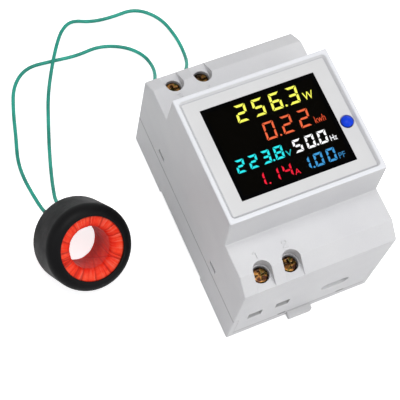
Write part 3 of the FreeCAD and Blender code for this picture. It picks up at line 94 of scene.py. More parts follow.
def scaled(colour, factor, offset=0.0):
    return tuple(min(1.0, channel * factor + offset) for channel in colour[:3]) + (1.0,)


BLACK = grey(0.0)
WHITE = grey(1.0)

# Most of a noise pattern lies between these two values
NOISE_LOW = 0.3
NOISE_HIGH = 0.7

# Camera: its lens and sensor in millimetres, the ways that its own axes point, and its place in metres
CAMERA_LENS = 117.43
CAMERA_SENSOR = 36.0
CAMERA_RIGHT = (0.90904, -0.40003, 0.11669)
CAMERA_UP = (0.33128, 0.86365, 0.37995)
CAMERA_BACK = (-0.25277, -0.30673, 0.91762)
CAMERA_PLACE = (-0.13144, -0.13184, 0.42102)

# Lamps, in metres: name, place, width, watts and colour. All of them face one point
LAMP_AIM = (-0.02, 0.0, 0.03)
LAMPS = (
    ("over_lamp", (0.0, 0.0, 0.85), 0.5, 2.9, (1.0, 1.0, 1.0)),
    ("right_lamp", (0.42, -0.42, 0.58), 0.5, 1.2, (1.0, 0.995, 0.985)),
    ("front_lamp", (0.25, -0.78, 0.2), 0.5, 0.95, (1.0, 1.0, 1.0)),
    ("left_lamp", (-0.6, 0.0, 0.55), 0.5, 0.6, (0.98, 0.99, 1.0)),
    ("back_lamp", (0.58, 0.55, 0.28), 0.3, 0.5, (1.0, 1.0, 1.0)),
)

# Floor and background. The camera sees them brighter than the light that they give, also by way of shiny
# and clear pieces. The drop is how far the floor lies below the part, in millimetres
FLOOR_REACH = 2.5
FLOOR_DROP = 0.02
FLOOR_SHOWN_GLOW = 0.25
FLOOR_CAMERA_GLOW = 0.45
WORLD_LIGHT = 0.36
WORLD_SHOWN = 1.0

# Housing: its rim, whose painted highlight starts and ends this far below the top, and the painted shadow on
# the lips of its seams
RIM_Z = 60.8
RIM_HIGHLIGHT_START = 0.35
RIM_HIGHLIGHT_END = 0.15
SIDE_SEAM_Z = 15.5
END_SEAM_Z = 2.2
END_SEAM_HALF = 25.0
SEAM_GAP = 0.25
SEAM_LIP = 0.45
SEAM_SHADE_DEPTH = 0.3
SEAM_SHADE_SHARE = 0.75

# Face: the painted shadow of the gap round the overlay starts and ends this far inside the overlay's edge
PLATE_SHADOW_START = 0.4
PLATE_SHADOW_END = 0.1
WINDOW_BORDER = 1.25
DISPLAY_SHADE_MARGIN = 1.0

# Current transformer: its centre, its two angles in degrees, and the lining of its bore
RING_CENTRE = (-62.1, 4.5, 12.998)
RING_TILT = 37.5
RING_HEADING = 10.3
BORE_RADIUS = 7.1
BORE_HALF = 6.5
LINING_ROUNDING = 2.2
LINING_LIP_RADIUS = 11.0
LINING_LIP_Z = 9.1
LINING_THICK = 0.72
LINING_ARC_STEPS = 12
LINING_FLARE_STEPS = 4
LINING_BORE_STEPS = 14

# Red wrapping: its turns of tape and its creases, whose angles are in radians round the ring
WRAP_SEED = 7
WRAP_STEPS = 480
WRAP_COUNT = 11
WRAP_JITTER = 0.35
WRAP_WIDTHS = (0.5, 0.75)
WRAP_LEANS = (0.15, 0.6)
WRAP_LIFTS = (0.14, 0.36)
WRAP_EDGE = 0.02
WRAP_SHADE = 0.09
CREASE_COUNT = 24
CREASE_LEANS = (-0.5, 0.8)
CREASE_WIDTHS = (0.03, 0.1)
CREASE_DEPTHS = (0.08, 0.24)
CREASE_SHADE = 0.06
# Slow waves under the wraps: height, how many go round the ring, where they start, and their lean
WRAP_WAVES = ((0.09, 3, 1.3, 0.0), (0.06, 7, 0.0, 2.2))
LIP_FLATNESS = 12
BORE_FLATNESS = 0.55
BORE_SHADE_SHARPNESS = 1.5
# The streaks' pattern is laid out on a plain tube that follows the tape's lean
STREAK_RADIUS = 9.0
STREAK_REACH = 2.0
STREAK_LEAN = 0.3

# Display: a figure's size is its width, its height and the width of its bars
DIGIT_SLANT = 0.11
DIGIT_GAP = 0.17
DIGIT_LIFT = 0.02
DIGIT_THICK = 0.05
DOT_SHARE = 0.46
DOT_SIDES = 24
LETTER_SMOOTHNESS = 6
LARGE_DIGIT = (3.8, 5.95, 0.8)
MIDDLE_DIGIT = (3.72, 6.0, 0.66)
SMALL_DIGIT = (2.95, 4.4, 0.7)
BOLD_DIGIT = (2.95, 4.4, 0.72)
SLIM_DIGIT = (2.95, 4.4, 0.6)
LARGE_PITCH = 5.98
SMALL_PITCH = 4.38
BOLD_PITCH = 4.32

YELLOW = srgb(247, 247, 92)
ORANGE = srgb(230, 98, 56)
DEEP_ORANGE = srgb(238, 88, 48)
CYAN = srgb(38, 226, 228)
DIM_CYAN = srgb(32, 190, 192)
LIT_WHITE = srgb(252, 252, 252)
RED = srgb(236, 22, 50)
BLUE = srgb(58, 146, 204)
DIM_BLUE = srgb(48, 122, 172)

# Rows of figures: name, figures, lower left corner, size, pitch, the figure that the point follows, colour,
# and how far the first figure stands left of its regular place
READINGS = (
    ("power_figures", "2563", (-9.85, 8.5), LARGE_DIGIT, LARGE_PITCH, 2, YELLOW, 0.0),
    ("energy_figures", "022", (-3.84, -0.08), MIDDLE_DIGIT, LARGE_PITCH, 0, ORANGE, 0.0),
    ("voltage_figures", "2238", (-17.1, -7.15), SMALL_DIGIT, SMALL_PITCH, 2, CYAN, 0.0),
    ("frequency_figures", "500", (2.65, -7.2), BOLD_DIGIT, BOLD_PITCH, 1, LIT_WHITE, 0.0),
    ("current_figures", "114", (-12.7, -13.65), SLIM_DIGIT, SMALL_PITCH, 0, RED, 0.45),
    ("factor_figures", "100", (2.5, -13.7), SMALL_DIGIT, SMALL_PITCH, 0, BLUE, 0.15),
)
# Units: name, letters, lower left corner, cap height, width, colour, and how much thinner their strokes are
# as a share of the letters' size
UNITS = (
    ("power_unit", "W", (13.1, 8.45), 2.7, 3.45, YELLOW, 0.0),
    ("energy_unit", "kwh", (12.95, -0.1), 2.4, 3.6, DEEP_ORANGE, 0.012),
    ("voltage_unit", "V", (-0.45, -7.2), 1.95, 2.0, DIM_CYAN, 0.0),
    ("frequency_unit", "Hz", (14.9, -7.3), 1.9, 2.25, LIT_WHITE, 0.0),
    ("current_unit", "A", (-0.5, -13.75), 1.85, 1.9, RED, 0.0),
    ("factor_unit", "PF", (14.8, -13.65), 1.9, 2.2, DIM_BLUE, 0.0),
)
# The bars that each figure lights: a to f run clockwise from the top, and g is the middle one
SEGMENTS = {"0": "abcdef", "1": "bc", "2": "abged", "3": "abgcd", "4": "fgbc", "5": "afgcd", "6": "afgedc",
            "8": "abcdefg"}

# Leads: their routes run from inside the clamps to the ring's grommets
LEAD_DIAMETER = 1.3
LEAD_ORDER = 3
LEAD_STEPS = 16
LEAD_ROUNDNESS = 8
LEAD_A = (
    (-9.0, 38.9, 17.0),
    (-9.0, 43.6, 17.0),
    (-6.4, 50.0, 13.2),
    (-0.4, 56.0, 6.4),
    (2.6, 64.2, 0.4),
    (3.0, 72.8, -1.4),
    (0.6, 82.2, -1.5),
    (-6.8, 89.0, -1.5),
    (-16.8, 88.4, -1.5),
    (-24.6, 89.2, -1.4),
    (-31.0, 91.8, -0.8),
    (-36.0, 89.0, 0.2),
    (-40.4, 83.2, 0.5),
    (-45.2, 75.4, 0.4),
    (-50.2, 66.2, -1.3),
    (-54.2, 55.4, -1.5),
    (-57.8, 45.2, -0.7),
    (-61.0, 35.2, 2.8),
    (-63.1, 28.0, 6.4),
    (-64.3, 22.6, 8.9),
    (-63.86, 20.01, 12.34),
)
LEAD_B = (
    (-19.1, 38.9, 17.0),
    (-19.1, 43.4, 17.0),
    (-17.6, 49.2, 13.8),
    (-13.6, 55.2, 8.4),
    (-11.0, 62.2, 2.4),
    (-11.4, 69.8, -1.2),
    (-16.6, 75.4, -1.5),
    (-25.4, 78.8, -1.5),
    (-34.6, 77.8, -1.5),
    (-44.0, 78.9, -1.5),
    (-53.6, 79.6, -1.5),
    (-60.4, 74.2, -1.5),
    (-64.0, 64.6, -1.5),
    (-66.6, 55.0, -1.4),
    (-69.4, 46.0, -0.6),
    (-70.4, 37.6, 3.2),
    (-70.2, 29.2, 6.6),
    (-69.3, 21.3, 8.4),
    (-68.83, 18.56, 11.93),
)


# Placing

def add_to_scene(piece):
    bpy.context.scene.collection.objects.link(piece)


def axes_matrix(x_axis, y_axis, z_axis, place):
    """The matrix of an object whose own axes point these ways, at a place in metres."""
    rows = [(x_axis[i], y_axis[i], z_axis[i], place[i]) for i in range(3)]
    return Matrix(rows + [(0.0, 0.0, 0.0, 1.0)])


def add_camera():
    data = bpy.data.cameras.new("camera")
    data.sensor_fit = "HORIZONTAL"
    data.sensor_width = CAMERA_SENSOR
    data.lens = CAMERA_LENS
    camera = bpy.data.objects.new("camera", data)
    camera.matrix_world = axes_matrix(CAMERA_RIGHT, CAMERA_UP, CAMERA_BACK, CAMERA_PLACE)
    add_to_scene(camera)
    bpy.context.scene.camera = camera


# Cords

def add_lead(name, node, points):
    """A free lead along its route's points, which leaves the housing through its end wall."""
    curve = bpy.data.curves.new(name, "CURVE")
    curve.dimensions = "3D"
    spline = curve.splines.new("NURBS")
    spline.points.add(len(points) - 1)
    for place, point in zip(spline.points, points):
        place.co = (*mm(point), 1.0)
        place.radius = MM
    spline.order_u = LEAD_ORDER
    spline.use_endpoint_u = True
    curve.resolution_u = LEAD_STEPS
    curve.bevel_depth = LEAD_DIAMETER / 2
    curve.bevel_resolution = LEAD_ROUNDNESS
    curve.use_fill_caps = True
    lead = bpy.data.objects.new(name, curve)
    add_to_scene(lead)
    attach(lead, "meter")
    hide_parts(node)
    dress(lead, "lead_green")


# Shader nodes

class Nodes:
    """A node tree that grows one node at a time."""

    def __init__(self, tree):
        self.tree = tree

    def add(self, kind, **settings):
        node = self.tree.nodes.new(kind)
        for key, value in settings.items():
            setattr(node, key, value)
        return node

    def link(self, start, end):
        self.tree.links.new(start, end)

    def feed(self, socket, value):
        if hasattr(value, "is_linked"):
            self.link(value, socket)
        else:
            socket.default_value = value

    def math(self, operation, *values):
        node = self.add("ShaderNodeMath", operation=operation)
        for socket, value in zip(node.inputs, values):
            self.feed(socket, value)
        return node.outputs["Value"]

    def span(self, value, low, high, start=NOISE_LOW, end=NOISE_HIGH):
        """From low to high while the value goes from start to end."""
        node = self.add("ShaderNodeMapRange")
        node.inputs["From Min"].default_value = start
        node.inputs["From Max"].default_value = end
        node.inputs["To Min"].default_value = low
        node.inputs["To Max"].default_value = high
        self.link(value, node.inputs["Value"])
        return node.outputs["Result"]

    def seen_rays(self):
        """Two masks: rays straight from the camera, and these with rays by way of shiny or clear pieces."""
        path = self.add("ShaderNodeLightPath")
        straight = path.outputs["Is Camera Ray"]
        either = self.math("MAXIMUM", straight, path.outputs["Is Glossy Ray"])
        return straight, self.math("MAXIMUM", either, path.outputs["Is Transmission Ray"])


class Look(Nodes):
    """A procedural material, whose nodes are added round a principled shader."""

    def __init__(self, name):
        self.material = bpy.data.materials.new(name)
        self.material.use_nodes = True
        super().__init__(self.material.node_tree)
        self.shader = self.tree.nodes["Principled BSDF"]
        self.output = self.tree.nodes["Material Output"]
        self.place = self.add("ShaderNodeTexCoord").outputs["Object"]

    def set(self, **values):
        for name, value in values.items():
            self.feed(self.shader.inputs[name.replace("_", " ")], value)
        return self

    def noise(self, grain, detail=2.0, rough=0.5, place=None):
        """Noise whose patches are as large as the grain, in millimetres."""
        node = self.add("ShaderNodeTexNoise")
        node.inputs["Scale"].default_value = 1 / (grain * MM)
        node.inputs["Detail"].default_value = detail
        node.inputs["Roughness"].default_value = rough
        self.link(place or self.place, node.inputs["Vector"])
        return node.outputs["Fac"]

    def stretched(self, scale):
        node = self.add("ShaderNodeMapping")
        node.inputs["Scale"].default_value = scale
        self.link(self.place, node.inputs["Vector"])
        return node.outputs["Vector"]

    def ramp(self, value, stops):
        node = self.add("ShaderNodeValToRGB")
        elements = node.color_ramp.elements
        while len(elements) < len(stops):
            elements.new(0.5)
        for element, (position, colour) in zip(elements, stops):
            element.position = position
            element.color = colour
        self.link(value, node.inputs["Fac"])
        return node.outputs["Color"]

    def tones(self, value, first, second, start=NOISE_LOW, end=NOISE_HIGH):
        return self.ramp(value, ((start, first), (end, second)))

    def mix(self, share, first, second, blend="MIX"):
        node = self.add("ShaderNodeMix", data_type="RGBA", blend_type=blend)
        self.feed(node.inputs["Factor"], share)
        self.feed(node.inputs["A"], first)
        self.feed(node.inputs["B"], second)
        return node.outputs["Result"]

    def tint(self, body, amount, most, colour):
        """The body's colour, with up to the most of another colour where the amount is 1."""
        return self.mix(self.math("MULTIPLY", amount, most), body, colour)

    def separate(self):
        node = self.add("ShaderNodeSeparateXYZ")
        self.link(self.place, node.inputs["Vector"])
        return node.outputs["X"], node.outputs["Y"], node.outputs["Z"]

    def attribute(self, name, output="Fac"):
        return self.add("ShaderNodeAttribute", attribute_name=name).outputs[output]

    def facing(self, blend):
        """0 where a surface faces the viewer, towards 1 at its outline."""
        node = self.add("ShaderNodeLayerWeight")
        node.inputs["Blend"].default_value = blend
        return node.outputs["Facing"]

    def soft_edge(self, radius):
        """Normals that round every edge off."""
        node = self.add("ShaderNodeBevel")
        node.samples = 4
        node.inputs["Radius"].default_value = radius * MM
        return node.outputs["Normal"]

    def bump(self, height, depth, normal=None):
        node = self.add("ShaderNodeBump")
        node.inputs["Strength"].default_value = 1.0
        node.inputs["Distance"].default_value = depth * MM
        self.link(height, node.inputs["Height"])
        if normal is not None:
            self.link(normal, node.inputs["Normal"])
        return node.outputs["Normal"]

    def edge_mask(self, normal):
        """0 on flat faces, towards 1 along edges."""
        face = self.add("ShaderNodeNewGeometry").outputs["Normal"]
        node = self.add("ShaderNodeVectorMath", operation="DOT_PRODUCT")
        self.link(face, node.inputs[0])
        self.link(normal, node.inputs[1])
        return self.span(node.outputs["Value"], 1.0, 0.0, 0.8, 1.0)

    def past_outline(self, node, inset=0.0):
        """How far a point lies outside a node's rectangle, drawn in by an inset, seen from the front."""
        low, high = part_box(node)
        middle = (low + high) / 2
        half = (high - low) / 2
        x, y, _ = self.separate()
        off_x = self.math("ABSOLUTE", self.math("SUBTRACT", x, middle.x))
        off_y = self.math("ABSOLUTE", self.math("SUBTRACT", y, middle.y))
        across = self.math("SUBTRACT", off_x, half.x - inset * MM)
        along = self.math("SUBTRACT", off_y, half.y - inset * MM)
        return self.math("MAXIMUM", across, along)


# General materials

def moulded(name, colour, shade, roughness, grain=0.35, depth=0.006):
    """Moulded plastic: faint flow blotches, a fine spark-eroded grain and slightly polished edges, which are
    also painted lighter as a highlight.
    """
    look = Look(name)
    blotches = look.noise(14.0, 3.0, 0.55)
    fine = look.noise(grain, 2.0, 0.6)
    specks = look.tones(fine, grey(0.93), WHITE, 0.25, 0.6)
    normal = look.soft_edge(0.15)
    edge_share = look.edge_mask(normal)
    body = look.mix(0.6, look.tones(blotches, shade, colour), specks, "MULTIPLY")
    # Edges are painted lighter as a highlight, and polished to a lower roughness
    body = look.tint(body, edge_share, 0.5, scaled(colour, 1.06, 0.01))
    rough = look.span(fine, roughness - 0.05, roughness + 0.06)
    rough = look.math("SUBTRACT", rough, look.math("MULTIPLY", edge_share, 0.08))
    return look.set(Base_Color=body, Roughness=rough, Normal=look.bump(fine, depth, normal))


def metal(name, colour, shade, roughness, grain=0.8):
    """Worked metal: cloudy patches, a finer grain, and edges that are rubbed bright."""
    look = Look(name)
    patches = look.noise(grain, 4.0, 0.6)
    fine = look.noise(grain / 6, 2.0, 0.6)
    normal = look.soft_edge(0.08)
    edge_share = look.edge_mask(normal)
    body = look.tint(look.tones(patches, shade, colour, 0.3, 0.65), edge_share, 0.7, scaled(colour, 1.25))
    rough = look.span(fine, roughness - 0.07, roughness + 0.1)
    return look.set(Base_Color=body, Metallic=1.0, Roughness=rough, Normal=look.bump(fine, 0.004, normal))


# Housing and face

def seam_shade(look, z, middle, across, wall):
    """1 on the lips of the gap whose middle is at a height, on the walls this far out, and 0 beside it."""
    off = look.math("ABSOLUTE", look.math("SUBTRACT", z, middle * MM))
    lip = look.span(off, 1.0, 0.0, SEAM_GAP / 2 * MM, SEAM_LIP * MM)
    outside = look.math("GREATER_THAN", look.math("ABSOLUTE", across), (wall - SEAM_SHADE_DEPTH) * MM)
    return look.math("MULTIPLY", lip, outside)


def housing_look():
    """Pale moulded plastic, whose thin coat lets long edges catch a soft line of light, with painted
    highlights on its edges and the rim's top, and painted shade in its seams and round the display.
    """
    look = moulded("satin_light_grey", srgb(217, 217, 219), srgb(211, 211, 214), 0.42, 0.3, 0.004)
    x, y, z = look.separate()
    body = look.shader.inputs["Base Color"].links[0].from_socket
    # The rim's top is painted lighter, as a highlight
    rim_highlight = look.span(z, 0.0, 1.0, (RIM_Z - RIM_HIGHLIGHT_START) * MM, (RIM_Z - RIM_HIGHLIGHT_END) * MM)
    body = look.mix(rim_highlight, body, srgb(233, 234, 239))
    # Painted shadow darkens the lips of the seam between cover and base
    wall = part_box("base_shell")[1] / MM
    sides = seam_shade(look, z, SIDE_SEAM_Z + SEAM_GAP / 2, x, wall.x)
    ends = seam_shade(look, z, END_SEAM_Z - SEAM_GAP / 2, y, wall.y)
    between = look.math("LESS_THAN", look.math("ABSOLUTE", x), END_SEAM_HALF * MM)
    seam_shadow = look.math("MAXIMUM", sides, look.math("MULTIPLY", ends, between))
    body = look.tint(body, seam_shadow, SEAM_SHADE_SHARE, srgb(96, 96, 100))
    # The wall round the display, which shows through the window at a low angle, is painted black as its shade
    around = look.math("LESS_THAN", look.past_outline("display_window", -DISPLAY_SHADE_MARGIN), 0.0)
    below = look.math("LESS_THAN", z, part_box("display_window")[0].z)
    body = look.mix(look.math("MULTIPLY", around, below), body, srgb(8, 8, 8))
    return look.set(Base_Color=body, Coat_Weight=0.12, Coat_Roughness=0.35)


def plate_look():
    """Satin overlay film with a fine painted shadow just inside its edge, where it meets the rim."""
    look = Look("face_overlay")
    outside = look.past_outline("face_plate")
    # Painted shadow of the gap between the overlay and the rim
    line = look.span(outside, 0.0, 1.0, -PLATE_SHADOW_START * MM, -PLATE_SHADOW_END * MM)
    weave = look.noise(0.22, 2.0, 0.6)
    cloud = look.noise(11.0, 2.0, 0.5)
    film = look.tones(cloud, srgb(214, 214, 215), srgb(218, 218, 219))
    body = look.mix(line, film, srgb(192, 194, 198))
    normal = look.bump(weave, 0.004, look.soft_edge(0.08))
    return look.set(Base_Color=body, Roughness=look.span(weave, 0.36, 0.46), Normal=normal)


def window_look():
    """Clear coated window, which mirrors nothing, with a black border printed round the display's view."""
    look = Look("display_window")
    printed = look.math("GREATER_THAN", look.past_outline("display_window", WINDOW_BORDER), 0.0)
    haze = look.noise(6.0, 3.0, 0.6)
    clear = look.tones(haze, (0.93, 0.94, 0.96, 1.0), (0.97, 0.97, 0.98, 1.0), 0.35, 0.7)
    look.set(Base_Color=clear, Transmission_Weight=1.0, IOR=1.0, Roughness=look.span(haze, 0.0, 0.03),
             Specular_IOR_Level=0.0)
    ink = look.add("ShaderNodeBsdfPrincipled")
    ink.inputs["Specular IOR Level"].default_value = 0.0
    ink.inputs["Roughness"].default_value = 0.3
    look.link(look.tones(haze, grey(0.001), (0.003, 0.003, 0.0035, 1.0)), ink.inputs["Base Color"])
    both = look.add("ShaderNodeMixShader")
    look.link(printed, both.inputs["Fac"])
    look.link(look.shader.outputs["BSDF"], both.inputs[1])
    look.link(ink.outputs["BSDF"], both.inputs[2])
    look.link(both.outputs["Shader"], look.output.inputs["Surface"])
    return look


def screen_look():
    """Black cells, with the faint light that leaks through them from behind."""
    look = Look("dark_screen")
    cells = look.noise(0.12, 1.0, 0.5)
    leak = look.tones(cells, (0.0024, 0.0021, 0.0015, 1.0), (0.0030, 0.0026, 0.0019, 1.0))
    return look.set(Base_Color=look.tones(cells, grey(0.0001), grey(0.0003)),
                    Roughness=look.span(cells, 0.4, 0.55), Specular_IOR_Level=0.0,
                    Emission_Color=leak, Emission_Strength=1.0)


def lit_look(name, colour):
    """A lit figure: even light with the faint unevenness of the lamps behind it."""
    look = Look(name)
    glow = look.noise(7.0, 2.0, 0.5)
    light = look.tones(glow, scaled(colour, 0.9), colour, 0.3, 0.65)
    return look.set(Base_Color=look.mix(0.85, light, BLACK), Emission_Color=light, Emission_Strength=1.0,
                    Roughness=0.6, Specular_IOR_Level=0.1)


def button_look():
    """Glossy blue button, with painted shade that deepens its colour towards its outline as seen."""
    look = Look("blue_button")
    cloud = look.noise(2.2, 2.0, 0.5)
    fine = look.noise(0.25, 2.0, 0.5)
    normal = look.bump(fine, 0.001, look.soft_edge(0.12))
    body = look.tones(cloud, srgb(0, 58, 214), srgb(0, 68, 230))
    # Painted shade: the blue deepens towards the outline as seen
    body = look.mix(look.span(look.facing(0.4), 0.0, 1.0, 0.3, 0.8), body, srgb(12, 36, 120))
    return look.set(Base_Color=body, Roughness=look.span(fine, 0.3, 0.38), Normal=normal,
                    Specular_IOR_Level=0.17)


def zinc_look():
    """Yellow passivated zinc: broad patches of brown, olive and gold, with painted shade towards the outline
    and a painted highlight along the edges.
    """
    look = Look("yellow_zinc")
    film = look.noise(3.2, 1.0, 0.5)
    fine = look.noise(0.5, 2.0, 0.5)
    body = look.ramp(film, ((0.36, srgb(34, 22, 14)), (0.44, srgb(112, 74, 36)), (0.5, srgb(62, 68, 28)),
                            (0.56, srgb(152, 106, 56)), (0.64, srgb(60, 36, 28))))
    normal = look.soft_edge(0.12)
    # Painted shade darkens the heads towards their outline as seen, and a painted highlight lightens their
    # edges
    body = look.tint(body, look.facing(0.35), 0.8, srgb(40, 26, 18))
    body = look.tint(body, look.edge_mask(normal), 0.6, srgb(246, 228, 184))
    return look.set(Base_Color=body, Metallic=1.0, Roughness=look.span(fine, 0.13, 0.22),
                    Normal=look.bump(fine, 0.004, normal))


# Ring and leads

def shell_look():
    """Satin black shell of the ring, with a fine moulded grain and rubbed patches."""
    look = Look("ring_shell")
    cloud = look.noise(5.0, 4.0, 0.65)
    fine = look.noise(0.3, 2.0, 0.6)
    normal = look.bump(fine, 0.008, look.bump(cloud, 0.05))
    return look.set(Base_Color=look.tones(cloud, srgb(6, 6, 7), srgb(12, 12, 14)),
                    Roughness=look.span(cloud, 0.4, 0.54), Normal=normal, Specular_IOR_Level=0.1)


def tape_look():
    """Red wrapping, orange in patches, with painted shade in the folds and down the bore, and painted
    highlights in pale pink streaks.
    """
    look = Look("red_wrapping")
    fold = look.attribute("fold")
    depth = look.attribute("depth")
    cloud = look.noise(2.2, 3.0, 0.6)
    streak = look.noise(1.0, 3.0, 0.6, look.attribute("sweep", "Vector"))
    body = look.ramp(cloud, ((0.3, srgb(246, 50, 28)), (0.5, srgb(255, 66, 38)), (0.72, srgb(255, 88, 58))))
    # Each tint's share goes from one value to another over a stretch of its pattern
    tints = (
        # The pale pink streaks are a painted highlight, and the dark streaks painted shade along the pleats
        (streak, 0.0, 0.6, 0.52, 0.7, srgb(255, 136, 116)),
        (streak, 0.6, 0.0, 0.3, 0.46, srgb(206, 26, 22)),
        # Painted shade in the folds, then down the bore
        (fold, 0.0, 0.75, 0.9, 0.0, srgb(160, 14, 16)),
        (depth, 0.0, 0.5, 0.3, 1.0, srgb(226, 34, 28)),
        (depth, 0.0, 0.7, 1.0, 2.0, srgb(176, 20, 20)),
    )
    for pattern, first, last, start, end, colour in tints:
        body = look.mix(look.span(pattern, first, last, start, end), body, colour)
    return look.set(Base_Color=body, Roughness=look.span(streak, 0.3, 0.46), Normal=look.bump(streak, 0.1),
                    Specular_IOR_Level=0.08)


def lead_look():
    """Satin green insulation with a slow change of shade along it."""
    look = Look("green_insulation")
    cloud = look.noise(9.0, 3.0, 0.6)
    fine = look.noise(0.3, 2.0, 0.5)
    return look.set(Base_Color=look.tones(cloud, srgb(8, 138, 120), srgb(40, 174, 152), 0.35, 0.65),
                    Roughness=look.span(fine, 0.34, 0.46), Normal=look.bump(fine, 0.006),
                    Specular_IOR_Level=0.4)


# Inner pieces

def board_look():
    """Green solder mask with the lighter tracks under it."""
    look = moulded("board_green", srgb(24, 110, 62), srgb(16, 84, 46), 0.34, 0.5, 0.004)
    tracks = look.noise(1.6, 0.0, 0.5, look.stretched((1.0, 0.2, 1.0)))
    mask = srgb(20, 96, 54)
    return look.set(Base_Color=look.ramp(tracks, ((0.47, mask), (0.5, srgb(34, 128, 74)), (0.53, mask))))


def laminated_look():
    """Dark steel sheets in a stack."""
    look = metal("laminated_steel", srgb(92, 93, 98), srgb(58, 59, 63), 0.45, 0.6)
    layers = look.noise(0.35, 0.0, 0.5, look.stretched((0.02, 1.0, 0.02)))
    return look.set(Base_Color=look.tones(layers, srgb(60, 60, 64), srgb(104, 105, 110), 0.4, 0.6))


def wound_look():
    """Copper wire under clear enamel."""
    look = metal("enamelled_copper", srgb(205, 116, 66), srgb(150, 74, 38), 0.28, 0.5)
    return look.set(Coat_Weight=0.5, Coat_Roughness=0.1)


# The look of each material slot in the record
LOOKS = {
    "housing_plastic": housing_look(),
    "clip_plastic": moulded("clip_plastic", srgb(217, 217, 218), srgb(210, 210, 212), 0.45, 0.3, 0.005),
    "button_blue": button_look(),
    "face_film": plate_look(),
    "window_tint": window_look(),
    "lcd_black": screen_look(),
    "guide_white": moulded("light_guide", srgb(246, 246, 242), srgb(238, 238, 232), 0.2, 0.5, 0.002),
    "led_white": moulded("lamp_package", srgb(248, 238, 190), srgb(240, 224, 150), 0.35),
    "strip_rubber": moulded("contact_rubber", srgb(222, 176, 176), srgb(205, 156, 158), 0.7, 0.4, 0.02),
    "black_plastic": moulded("black_moulding", srgb(34, 34, 36), srgb(26, 26, 28), 0.5, 0.3, 0.008),
    "board_green": board_look(),
    "zinc_screw": zinc_look(),
    "small_screw": metal("bright_zinc", srgb(210, 212, 216), srgb(170, 172, 178), 0.3),
    "cage_brass": metal("nickel_washed_brass", srgb(214, 202, 166), srgb(176, 160, 118), 0.32),
    "bar_brass": metal("tinned_brass", srgb(222, 214, 186), srgb(188, 178, 146), 0.3),
    "spring_steel": metal("spring_wire", srgb(190, 192, 198), srgb(140, 142, 150), 0.28),
    "film_box": moulded("yellow_case", srgb(226, 184, 60), srgb(212, 168, 46), 0.45),
    "can_sleeve": moulded("black_sleeve", srgb(30, 30, 38), srgb(20, 20, 28), 0.25, 0.6, 0.003),
    "disc_blue": moulded("blue_lacquer", srgb(44, 92, 180), srgb(32, 74, 156), 0.22, 1.2, 0.02),
    "core_steel": laminated_look(),
    "crystal_can": metal("crystal_can", srgb(214, 215, 218), srgb(180, 182, 188), 0.26),
    "ring_black": shell_look(),
    "tape_red": tape_look(),
    "winding_copper": wound_look(),
    "grommet_black": moulded("black_rubber", srgb(24, 24, 25), srgb(16, 16, 17), 0.7, 0.5, 0.02),
    "lead_green": lead_look(),
}


def dress(piece, slot):
    piece.data.materials.clear()
    piece.data.materials.append(LOOKS[slot].material)


# Coil behind the rail clip

def add_clip_coil():
    """The clip's spring, copied from its solid into the scene's frame."""
    solid = NODES["clip_spring"]
    mesh = solid.data.copy()
    mesh.transform(solid.matrix_world)
    coil = bpy.data.objects.new("clip_coil", mesh)
    add_to_scene(coil)
    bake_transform(coil)
    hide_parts("clip_spring")
    dress(coil, "spring_steel")


# Display readings

def add_mesh(name, mesh_data, material):
    mesh = bpy.data.meshes.new(name)
    mesh_data.to_mesh(mesh)
    mesh_data.free()
    mesh.materials.append(material)
    piece = bpy.data.objects.new(name, mesh)
    add_to_scene(piece)
    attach(piece, "meter")
    return piece


def add_prism(mesh_data, outline, z0, z1):
    bottom = [mesh_data.verts.new(mm((x, y, z0))) for x, y in outline]
    top = [mesh_data.verts.new(mm((x, y, z1))) for x, y in outline]
    mesh_data.faces.new(top)
    mesh_data.faces.new(bottom[::-1])
    count = len(outline)
    for i in range(count):
        after = (i + 1) % count
        mesh_data.faces.new((bottom[i], bottom[after], top[after], top[i]))


def figures_z():
    """Where the lit figures' backs lie, just in front of the panel."""
    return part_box("lcd_panel")[1].z / MM + DIGIT_LIFT


def segment_outline(letter, size):
    """One of a figure's seven bars, with mitred ends."""
    width, height, stroke = size
    gap = DIGIT_GAP
    half = height / 2
    near = stroke / 2
    if letter == "a":
        return [(stroke + gap, height - stroke), (width - stroke - gap, height - stroke),
                (width - gap, height), (gap, height)]
    if letter == "d":
        return [(gap, 0), (width - gap, 0), (width - stroke - gap, stroke), (stroke + gap, stroke)]
    if letter == "g":
        return [(near + gap, half), (stroke + gap, half - near), (width - stroke - gap, half - near),
                (width - near - gap, half), (width - stroke - gap, half + near), (stroke + gap, half + near)]
    upper_left = [(0, height - gap), (0, half + gap), (near, half + gap), (stroke, half + near + gap),
                  (stroke, height - stroke - gap)]
    if letter == "f":
        return upper_left
    if letter == "e":
        return [(x, height - y) for x, y in upper_left][::-1]
    if letter == "b":
        return [(width - x, y) for x, y in upper_left][::-1]
    return [(width - x, height - y) for x, y in upper_left]


def add_readings(name, figures, start, size, pitch, dot_after, colour, first_shift):
    """A row of slanted seven-bar figures with a round point after one of them."""
    screen_z = figures_z()
    mesh_data = bmesh.new()
    for i, figure in enumerate(figures):
        left = start[0] + pitch * i - (first_shift if i == 0 else 0.0)
        for letter in SEGMENTS[figure]:
            outline = [(left + x + DIGIT_SLANT * y, start[1] + y) for x, y in segment_outline(letter, size)]
            add_prism(mesh_data, outline, screen_z, screen_z + DIGIT_THICK)
    dot_radius = size[2] * DOT_SHARE
    dot_x = start[0] + pitch * (dot_after + 1) - (pitch - size[0]) / 2
    dot_y = start[1] + dot_radius
    turns = [math.tau * i / DOT_SIDES for i in range(DOT_SIDES)]
    dot = [(dot_x + dot_radius * math.cos(turn), dot_y + dot_radius * math.sin(turn)) for turn in turns]
    add_prism(mesh_data, dot, screen_z, screen_z + DIGIT_THICK)
    add_mesh(name, mesh_data, lit_look(name, colour).material)


